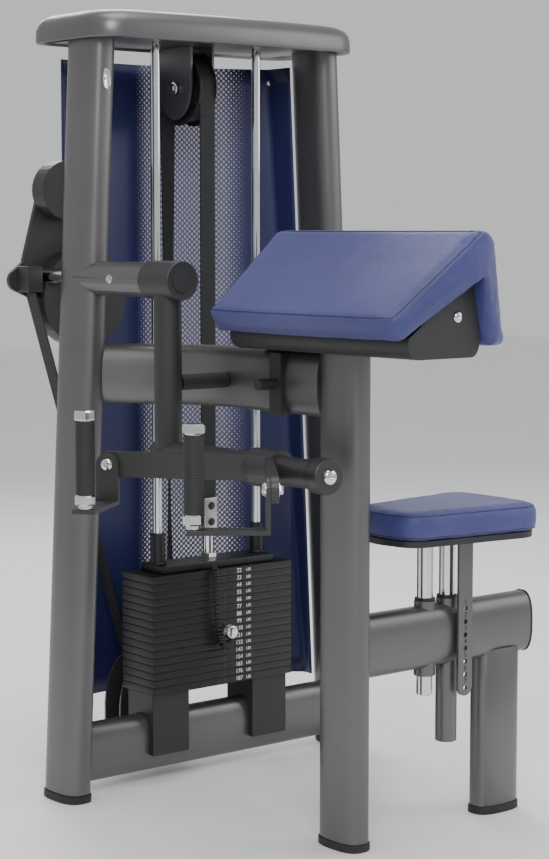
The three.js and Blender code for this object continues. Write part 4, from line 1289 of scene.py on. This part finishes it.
@dataclass
class Seat:
    """The seat cushion, its board, rods, sleeves and the numbered index plate."""

    shop: Shop
    left: float = 312.0
    right: float = 655.0
    half_left: float = 96.0
    half_right: float = 128.0
    corner: float = 52.0
    top: float = 650.0
    thick: float = 58.0
    rods: tuple = ((440.0, 268.0, 307.0, "front"), (500.0, 196.0, 166.0, "rear"))
    index_x: float = 511.0
    index_y: float = -655.0
    latch_z: float = 385.0
    pitch: float = 26.7
    holes: int = 7

    def build(self) -> None:
        """Builds every piece of the seat."""
        looks = self.shop.finishes
        self.cushion()
        self.shop.dress("seat_board", looks.plastic, 1.5)
        self.shop.dress("seat_index_plate", looks.silver, 0.5)
        for x, rod_low, sleeve_low, name in self.rods:
            mesh = bmesh.new()
            turn(mesh, rod(16.0, rod_low, 579.4, 1.5), (x, POST_Y, 0), UP)
            self.shop.finish(f"seat_rod_{name}_bar", mesh, looks.chrome, Body.SEAT, (f"seat_rod_{name}",))
            mesh = bmesh.new()
            turn(mesh, tube(21.5, 16.3, sleeve_low, 458.0, 1.2), (x, POST_Y, 0), UP)
            self.shop.finish(f"seat_sleeve_{name}_tube", mesh, looks.silver, Body.FRAME,
                             (f"seat_sleeve_{name}",))
            mesh = bmesh.new()
            turn(mesh, tube(20.5, 16.4, 458.2, 463.0, 1.2), (x, POST_Y, 0), UP)
            self.shop.finish(f"seat_bush_{name}", mesh, looks.plastic, Body.FRAME)
        self.numerals()

    def outline(self, inset: float, steps: int = 10) -> list[tuple[float, float]]:
        """Returns the seat's plan outline drawn in by an inset, in millimetres."""
        left, right = self.left + inset, self.right - inset
        near, far = self.half_left - inset, self.half_right - inset
        corner, y = self.corner, POST_Y
        arcs = [
            ((left, y + near - corner), (left - 10, y), (left, y - near + corner)),
            ((left, y - near + corner), (left, y - near), (left + corner, y - near - 4)),
            ((left + corner, y - near - 4), ((left + right) / 2, y - (near + far) / 2 - 3),
             (right - corner, y - far)),
            ((right - corner, y - far), (right, y - far), (right, y - far + corner)),
            ((right, y - far + corner), (right + 6, y), (right, y + far - corner)),
            ((right, y + far - corner), (right, y + far), (right - corner, y + far)),
            ((right - corner, y + far), ((left + right) / 2, y + (near + far) / 2 + 3),
             (left + corner, y + near + 4)),
            ((left + corner, y + near + 4), (left, y + near), (left, y + near - corner)),
        ]
        ring = []
        for begin, pull, finish in arcs:
            for step in range(steps):
                ring.append(bend(begin, pull, finish, step / steps))
        return ring

    def cushion(self) -> None:
        """Builds the stuffed seat with its piped upper edge."""
        low = self.top - self.thick
        layers = [(12.0, low + 0.6), (5.0, low + 2), (2.5, low + 9), (2.0, self.top - 26),
                  (3.0, self.top - 15), (8.0, self.top - 6.5), (22.0, self.top - 4)]
        mesh = bmesh.new()
        loft(mesh, [[place(x, y, z) for x, y in self.outline(inset)] for inset, z in layers])
        maker = Cushion(self.shop)
        pad = maker.stuff("seat_cushion", mesh, Body.SEAT, "seat_pad", 3.0)
        for number, (z, inset) in enumerate(((self.top - 5.0, 4.6), (low + 3.0, 1.8))):
            line = [Vector((x, y, z)) for x, y in self.outline(inset)]
            maker.piping(f"seat_seam_{number}", Body.SEAT, pad, line, 1.1)

    def numerals(self) -> None:
        """Builds the stamped numbers beside the index holes."""
        mesh = bmesh.new()
        for number in range(self.holes):
            z = self.latch_z + (number - 3.5) * self.pitch
            text = str(self.holes - number)
            spot = (self.index_x, self.index_y - 6.1, z)
            join(mesh, words(text, 11.0, spot, FRONT, UP, 0.5))
        self.shop.finish("index_numerals", mesh, self.shop.finishes.ink, Body.SEAT, smooth=False)


@dataclass
class ArmPad:
    """The sloped arm pad: an upturned vee of stuffed vinyl with sewn edges."""

    shop: Shop
    low_x: float = 84.0
    low_z: float = 1024.0
    top_x: float = 287.0
    top_z: float = 1192.0
    thick: float = 48.0
    y: float = -640.0
    low_half: float = 268.0
    top_half: float = 300.0
    back_half: float = 268.0
    back_x: float = 366.0
    back_z: float = 968.0

    def build(self) -> None:
        """Builds the pad and its seams."""
        slices = 33
        rings = []
        for index in range(slices):
            share = 2 * index / (slices - 1) - 1
            edge = max(0.0, (abs(share) - 0.93) / 0.07)
            rings.append(self.section(share, 1.0 + 5.0 * edge ** 2))
        mesh = bmesh.new()
        loft(mesh, rings)
        maker = Cushion(self.shop)
        pad = maker.stuff("arm_pad_cushion", mesh, Body.FRAME, "arm_pad", 2.6)
        self.seams(maker, pad)

    def half_at(self, x: float) -> float:
        """Returns the pad's half width at a distance along the slope, in millimetres."""
        if x > self.top_x:
            share = min(1.0, (x - self.top_x) / (self.back_x - self.top_x))
            return self.top_half + (self.back_half - self.top_half) * share
        share = max(0.0, (x - self.low_x) / (self.top_x - self.low_x))
        return self.low_half + (self.top_half - self.low_half) * share

    def bow(self, share: float, x: float) -> float:
        """Returns how far the bowed lower edge comes forward at a place across the pad."""
        fade = max(0.0, 1 - (x - self.low_x) / 120.0)
        return -16.0 * (1 - share ** 2) * fade

    def section(self, share: float, inset: float) -> list[Vector]:
        """Returns one slice of the pad across its width, as row-frame points."""
        slope = Vector((self.top_x - self.low_x, self.top_z - self.low_z)).normalized()
        out = Vector((slope.y, -slope.x))
        low = Vector((self.low_x, self.low_z)) + slope * inset - out * -inset * 0.2
        crest = Vector((self.top_x, self.top_z))
        inner_low = low + out * (self.thick - inset)
        outline = []
        for step in range(13):
            outline.append(low.lerp(Vector((crest.x - 14, crest.y - 12 - inset)), step / 12))
        outline += [Vector((crest.x + 2, crest.y - 3 - inset)), Vector((crest.x + 18, crest.y - 8 - inset)),
                    Vector((crest.x + 34 - inset * 0.3, crest.y - 22 - inset * 0.6))]
        back = Vector((self.back_x - inset * 0.5, self.back_z + 14 + inset))
        for step in range(1, 11):
            outline.append(Vector((crest.x + 44 - inset * 0.6, crest.y - 36 - inset)).lerp(back, step / 10))
        outline += [Vector((self.back_x - 8, self.back_z + 4 + inset)),
                    Vector((self.back_x - self.thick + 4, self.back_z + 6 + inset))]
        inner = Vector((crest.x + 4, crest.y - 86))
        foot = Vector((self.back_x - self.thick + inset, self.back_z + 14 + inset))
        for step in range(1, 8):
            outline.append(foot.lerp(inner, step / 8))
        outline.append(inner)
        for step in range(1, 10):
            outline.append(inner.lerp(inner_low, step / 10))
        outline += [inner_low, inner_low + slope * -4 - out * 6]
        ring = []
        for spot in outline:
            half = self.half_at(spot.x) - inset * 0.8
            ring.append(place(spot.x + self.bow(share, spot.x), self.y + share * half, spot.y))
        return ring

    def seams(self, maker: Cushion, pad: bpy.types.Object) -> None:
        """Builds the sewn line inside the edges of the slope."""
        slope = Vector((self.top_x - self.low_x, self.top_z - self.low_z)).normalized()
        lift = Vector((-slope.y, slope.x))
        for number, (margin, height) in enumerate(((11.0, 0.9),)):
            line = []
            length = math.hypot(self.top_x - self.low_x, self.top_z - self.low_z)
            for step in range(24):
                line.append((-1, margin + (length - 2 * margin) * step / 24))
            for step in range(24):
                line.append((-1 + 2 * step / 24, length - margin))
            for step in range(24):
                line.append((1, length - margin - (length - 2 * margin) * step / 24))
            for step in range(24):
                line.append((1 - 2 * step / 24, margin))
            spots = []
            for share, along in line:
                x = self.low_x + slope.x * along + lift.x * height
                z = self.low_z + slope.y * along + lift.y * height
                half = self.half_at(x) - margin
                spots.append(Vector((x + self.bow(share, x), self.y + share * half, z)))
            maker.piping(f"arm_pad_seam_{number}", Body.FRAME, pad, spots, 1.3)


@dataclass
class Lever:
    """The swinging lever: hub, tubes, vee, cam, counterweight and both handles."""

    shop: Shop
    x: float = 55.0
    pivot_z: float = 1087.0
    tube_y: float = -290.0
    tube_radius: float = 27.0
    cross_z: float = 746.0
    cross_end: float = -776.0
    vee_y: float = -602.0
    reach: tuple = (-185.0, 247.0)
    grip_low: float = 700.0
    grip_high: float = 842.0
    foot_z: float = 670.0

    def build(self) -> None:
        """Builds every piece of the lever."""
        self.hub()
        self.tubes()
        looks = self.shop.finishes
        self.shop.dress("vee_bar", looks.graphite, 2.0)
        self.shop.dress("cam", looks.graphite, 2.0)
        self.shop.dress("counterweight_arm", looks.graphite, 1.6)
        self.shop.dress("belt_clamp", looks.graphite, 1.2)
        for side, sign, body in (("left", 1.0, Body.LEFT_HANDLE), ("right", -1.0, Body.RIGHT_HANDLE)):
            self.shop.dress(f"{side}_bracket", looks.graphite, 1.2)
            self.handle(side, sign, body)
        mesh = bmesh.new()
        hex_bolt(mesh, (self.x + 40.0, 173.0 - 1.0, 1268.0), BACK, 9.0)
        hex_bolt(mesh, (self.x - 58.0, 173.0 - 2.0, 1079.0), BACK, 9.0)
        self.shop.finish("counterweight_bolts", mesh, looks.chrome, Body.LEVER)

    def hub(self) -> None:
        """Builds the hub with its end discs and the shaft through the upright."""
        looks = self.shop.finishes
        front = BACK
        mesh = bmesh.new()
        profile = [(0, -339.5), (23.5, -339.5), (23.5, -338.0), (26, -338.0), (36.5, -340.0), (38, -338.5),
                   (38, -241.5), (36.5, -240), (19.3, -240), (19.3, -325.7), (0, -325.7)]
        turn(mesh, profile, (self.x, 0, self.pivot_z), front)
        self.shop.finish("lever_hub_turned", mesh, looks.graphite, Body.LEVER, ("lever_hub",))
        mesh = bmesh.new()
        turn(mesh, rod(19.0, -325.7, 188.0, 1.5), (self.x, 0, self.pivot_z), front)
        self.shop.finish("pivot_shaft_bar", mesh, looks.chrome, Body.LEVER, ("pivot_shaft",))

    def tubes(self) -> None:
        """Builds the drop tube, the cross tube with its boss and the end bolt."""
        looks = self.shop.finishes
        mesh = bmesh.new()
        turn(mesh, rod(self.tube_radius, self.cross_z + 12, self.pivot_z - 26, 0.2),
             (self.x, self.tube_y, 0), UP)
        self.shop.finish("lever_drop_tube", mesh, looks.graphite, Body.LEVER, ("lever_tube",))
        mesh = bmesh.new()
        end = self.cross_end
        profile = [(0, end), (31.5, end), (33, end + 1.5), (33, end + 32), (31.5, end + 34), (27, end + 34),
                   (27, -262.0), (24, -260.0), (0, -260.0)]
        turn(mesh, profile, (self.x, 0, self.cross_z), BACK)
        self.shop.finish("cross_tube_turned", mesh, looks.graphite, Body.LEVER, ("cross_tube",))
        mesh = bmesh.new()
        dome_bolt(mesh, (self.x, self.cross_end, self.cross_z), FRONT, 15.0)
        self.shop.finish("cross_tube_bolt", mesh, looks.chrome, Body.LEVER)

    def handle(self, side: str, sign: float, body: Body) -> None:
        """Builds one upright grip with chrome ends and the bolt that its bracket turns on."""
        looks = self.shop.finishes
        length = math.hypot(*self.reach)
        along = Vector((self.reach[0] / length, sign * self.reach[1] / length, 0))
        into = Vector((-sign * along.y, sign * along.x, 0))
        pivot = Vector((self.x + self.reach[0], self.vee_y + sign * self.reach[1], self.cross_z))
        grip = pivot + into * 137.3
        centre = (grip.x, grip.y, 0.0)
        up = UP
        mesh = bmesh.new()
        ribs = [(13.3, self.grip_low + 5)]
        z = self.grip_low + 5
        while z < self.grip_high - 6:
            ribs += [(17.3, z), (18.0, z + 1.2), (18.0, z + 3.4), (17.3, z + 4.4)]
            z += 4.8
        ribs += [(13.3, z), (13.3, self.grip_low + 5)]
        turn(mesh, ribs, centre, up, 40)
        self.shop.finish(f"{side}_rubber_grip", mesh, looks.rubber, body, (f"{side}_grip",))
        mesh = bmesh.new()
        turn(mesh, rod(13.0, self.foot_z + 8.3, self.grip_high + 2, 0.5), centre, up)
        for low, high in ((self.grip_low - 14, self.grip_low + 4.5),
                          (self.grip_high - 1, self.grip_high + 17)):
            ring = [(0, low), (17.5, low), (19.5, low + 2.5), (19.5, high - 3), (17.0, high), (0, high)]
            turn(mesh, ring, centre, up, 12)
        self.shop.finish(f"{side}_grip_ends", mesh, looks.chrome, body, (f"{side}_grip_post",), angle=14.0)
        mesh = bmesh.new()
        dome_bolt(mesh, tuple(pivot + into * 15.3), into, 12.0)
        self.shop.finish(f"{side}_pivot_bolt", mesh, looks.chrome, body)
        mesh = bmesh.new()
        hex_bolt(mesh, tuple(pivot - into * 7.2), -into, 9.0)
        self.shop.finish(f"{side}_pivot_nut", mesh, looks.chrome, Body.LEVER)


@dataclass
class Shroud:
    """The curved sheet behind the stack, tinted and finely perforated."""

    shop: Shop
    low: float = 160.0
    high: float = 1546.0
    thick: float = 3.0

    def line(self) -> list[tuple[float, float]]:
        """Returns the sheet's plan line in millimetres."""
        points = ((118.0, 176.0), (278.0, 214.0), (570.0, 226.0), (730.0, 44.0))
        line = []
        for step in range(61):
            share = step / 60
            rest = 1 - share
            weights = (rest ** 3, 3 * rest ** 2 * share, 3 * rest * share ** 2, share ** 3)
            line.append(tuple(sum(weight * point[i] for weight, point in zip(weights, points))
                              for i in (0, 1)))
        return line

    def build(self) -> None:
        """Builds the sheet and its bolts."""
        looks = self.shop.finishes
        line = self.line()
        mesh = bmesh.new()
        uv = mesh.loops.layers.uv.new("sheet")
        rows = 36
        spans = [0.0]
        for first, second in zip(line, line[1:]):
            spans.append(spans[-1] + math.dist(first, second) * MM)
        spots = []
        for row in range(rows + 1):
            z = self.low + (self.high - self.low) * row / rows
            edge = 714.0 - 0.049 * z
            spots.append([mesh.verts.new(place(min(x, edge), y, z)) for x, y in line])
        for row in range(rows):
            for column in range(len(line) - 1):
                corners = ((row, column), (row, column + 1), (row + 1, column + 1), (row + 1, column))
                face = mesh.faces.new([spots[r][c] for r, c in corners])
                for loop, (r, c) in zip(face.loops, corners):
                    loop[uv].uv = (spans[c], (self.high - self.low) * MM * r / rows)
        bmesh.ops.remove_doubles(mesh, verts=mesh.verts, dist=1e-5)
        bmesh.ops.dissolve_degenerate(mesh, edges=mesh.edges, dist=1e-6)
        sheet = self.shop.finish("shroud_sheet", mesh, looks.tint, Body.FRAME, ("rear_shroud",), angle=60.0)
        wall = sheet.modifiers.new("wall", "SOLIDIFY")
        wall.thickness = self.thick * MM
        wall.offset = 0.0
        mesh = bmesh.new()
        for index, z in ((6, 190.0), (6, 860.0), (6, 1516.0), (50, 190.0), (50, 1516.0)):
            x, y = line[index]
            ahead = Vector((line[index + 1][0] - x, line[index + 1][1] - y, 0)).normalized()
            face = Vector((ahead.y, -ahead.x, 0))
            spot = Vector((x, y, z)) + face * 1.5
            dome_bolt(mesh, tuple(spot), face, 7.0)
            dome_bolt(mesh, tuple(spot - face * 3.0), -face, 7.0)
        self.shop.finish("shroud_bolts", mesh, looks.chrome, Body.FRAME)


@dataclass
class Studio:
    """The pale floor, the soft lights and the camera."""

    eye: tuple = (-2.300, -3.518, 1.185)
    lens: float = 85.49
    tilt: float = 84.41
    heading: float = -39.1
    lights: list = field(default_factory=lambda: [
        ("key", (-2.6, -3.4, 3.6), 2.0, 120.0),
        ("fill", (3.4, -2.4, 2.6), 2.4, 45.0),
        ("rim", (1.5, 3.4, 3.2), 2.2, 90.0),
        ("top", (0.0, -0.4, 4.6), 2.6, 75.0),
    ])

    def build(self) -> None:
        """Builds the room."""
        mesh = bmesh.new()
        bmesh.ops.create_grid(mesh, x_segments=1, y_segments=1, size=14.0)
        data = bpy.data.meshes.new("floor")
        mesh.to_mesh(data)
        mesh.free()
        floor = bpy.data.objects.new("floor", data)
        bpy.context.scene.collection.objects.link(floor)
        shader = Shader("pale_floor")
        grain = shader.noise(4.0, 3.0)
        shader.paint(shader.ramp(grain, [(0.3, (0.86, 0.86, 0.86)), (0.7, (0.9, 0.9, 0.9))]),
                     shader.scaled(grain, 0.55, 0.65))
        data.materials.append(shader.material)
        world = bpy.data.worlds.new("studio")
        world.use_nodes = True
        back = world.node_tree.nodes["Background"]
        back.inputs["Color"].default_value = (0.93, 0.94, 0.96, 1.0)
        back.inputs["Strength"].default_value = 0.7
        bpy.context.scene.world = world
        for name, spot, size, power in self.lights:
            lamp = bpy.data.lights.new(name, "AREA")
            lamp.size = size
            lamp.energy = power
            holder = bpy.data.objects.new(name, lamp)
            holder.location = spot
            aim = Vector((0, 0, 0.8)) - Vector(spot)
            holder.rotation_euler = aim.to_track_quat("-Z", "Y").to_euler()
            bpy.context.scene.collection.objects.link(holder)
        self.camera()

    def camera(self) -> None:
        """Sets the camera at the front left of the machine, at chest height."""
        low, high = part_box("left_foot")
        centre = Vector(((low[0] + high[0]) / 2, (low[1] + high[1]) / 2, 0.0))
        data = bpy.data.cameras.new("view")
        data.sensor_fit = "VERTICAL"
        data.sensor_height = 36.0
        data.lens = self.lens
        data.clip_end = 60.0
        holder = bpy.data.objects.new("view", data)
        holder.location = centre + Vector(self.eye)
        holder.rotation_euler = (math.radians(self.tilt), 0.0, math.radians(self.heading))
        bpy.context.scene.collection.objects.link(holder)
        bpy.context.scene.camera = holder


def main() -> None:
    """Builds the machine and its room."""
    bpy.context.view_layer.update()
    shop = Shop(Finishes())
    for part in (Tower(shop), WeightStack(shop), BeltDrive(shop), MainFrame(shop), Seat(shop), ArmPad(shop),
                 Lever(shop), Shroud(shop)):
        part.build()
        LOG.info("%s is built", type(part).__name__)
    Studio().build()


if __name__ == "__main__":
    logging.basicConfig(level=logging.INFO, format="%(message)s")
    main()
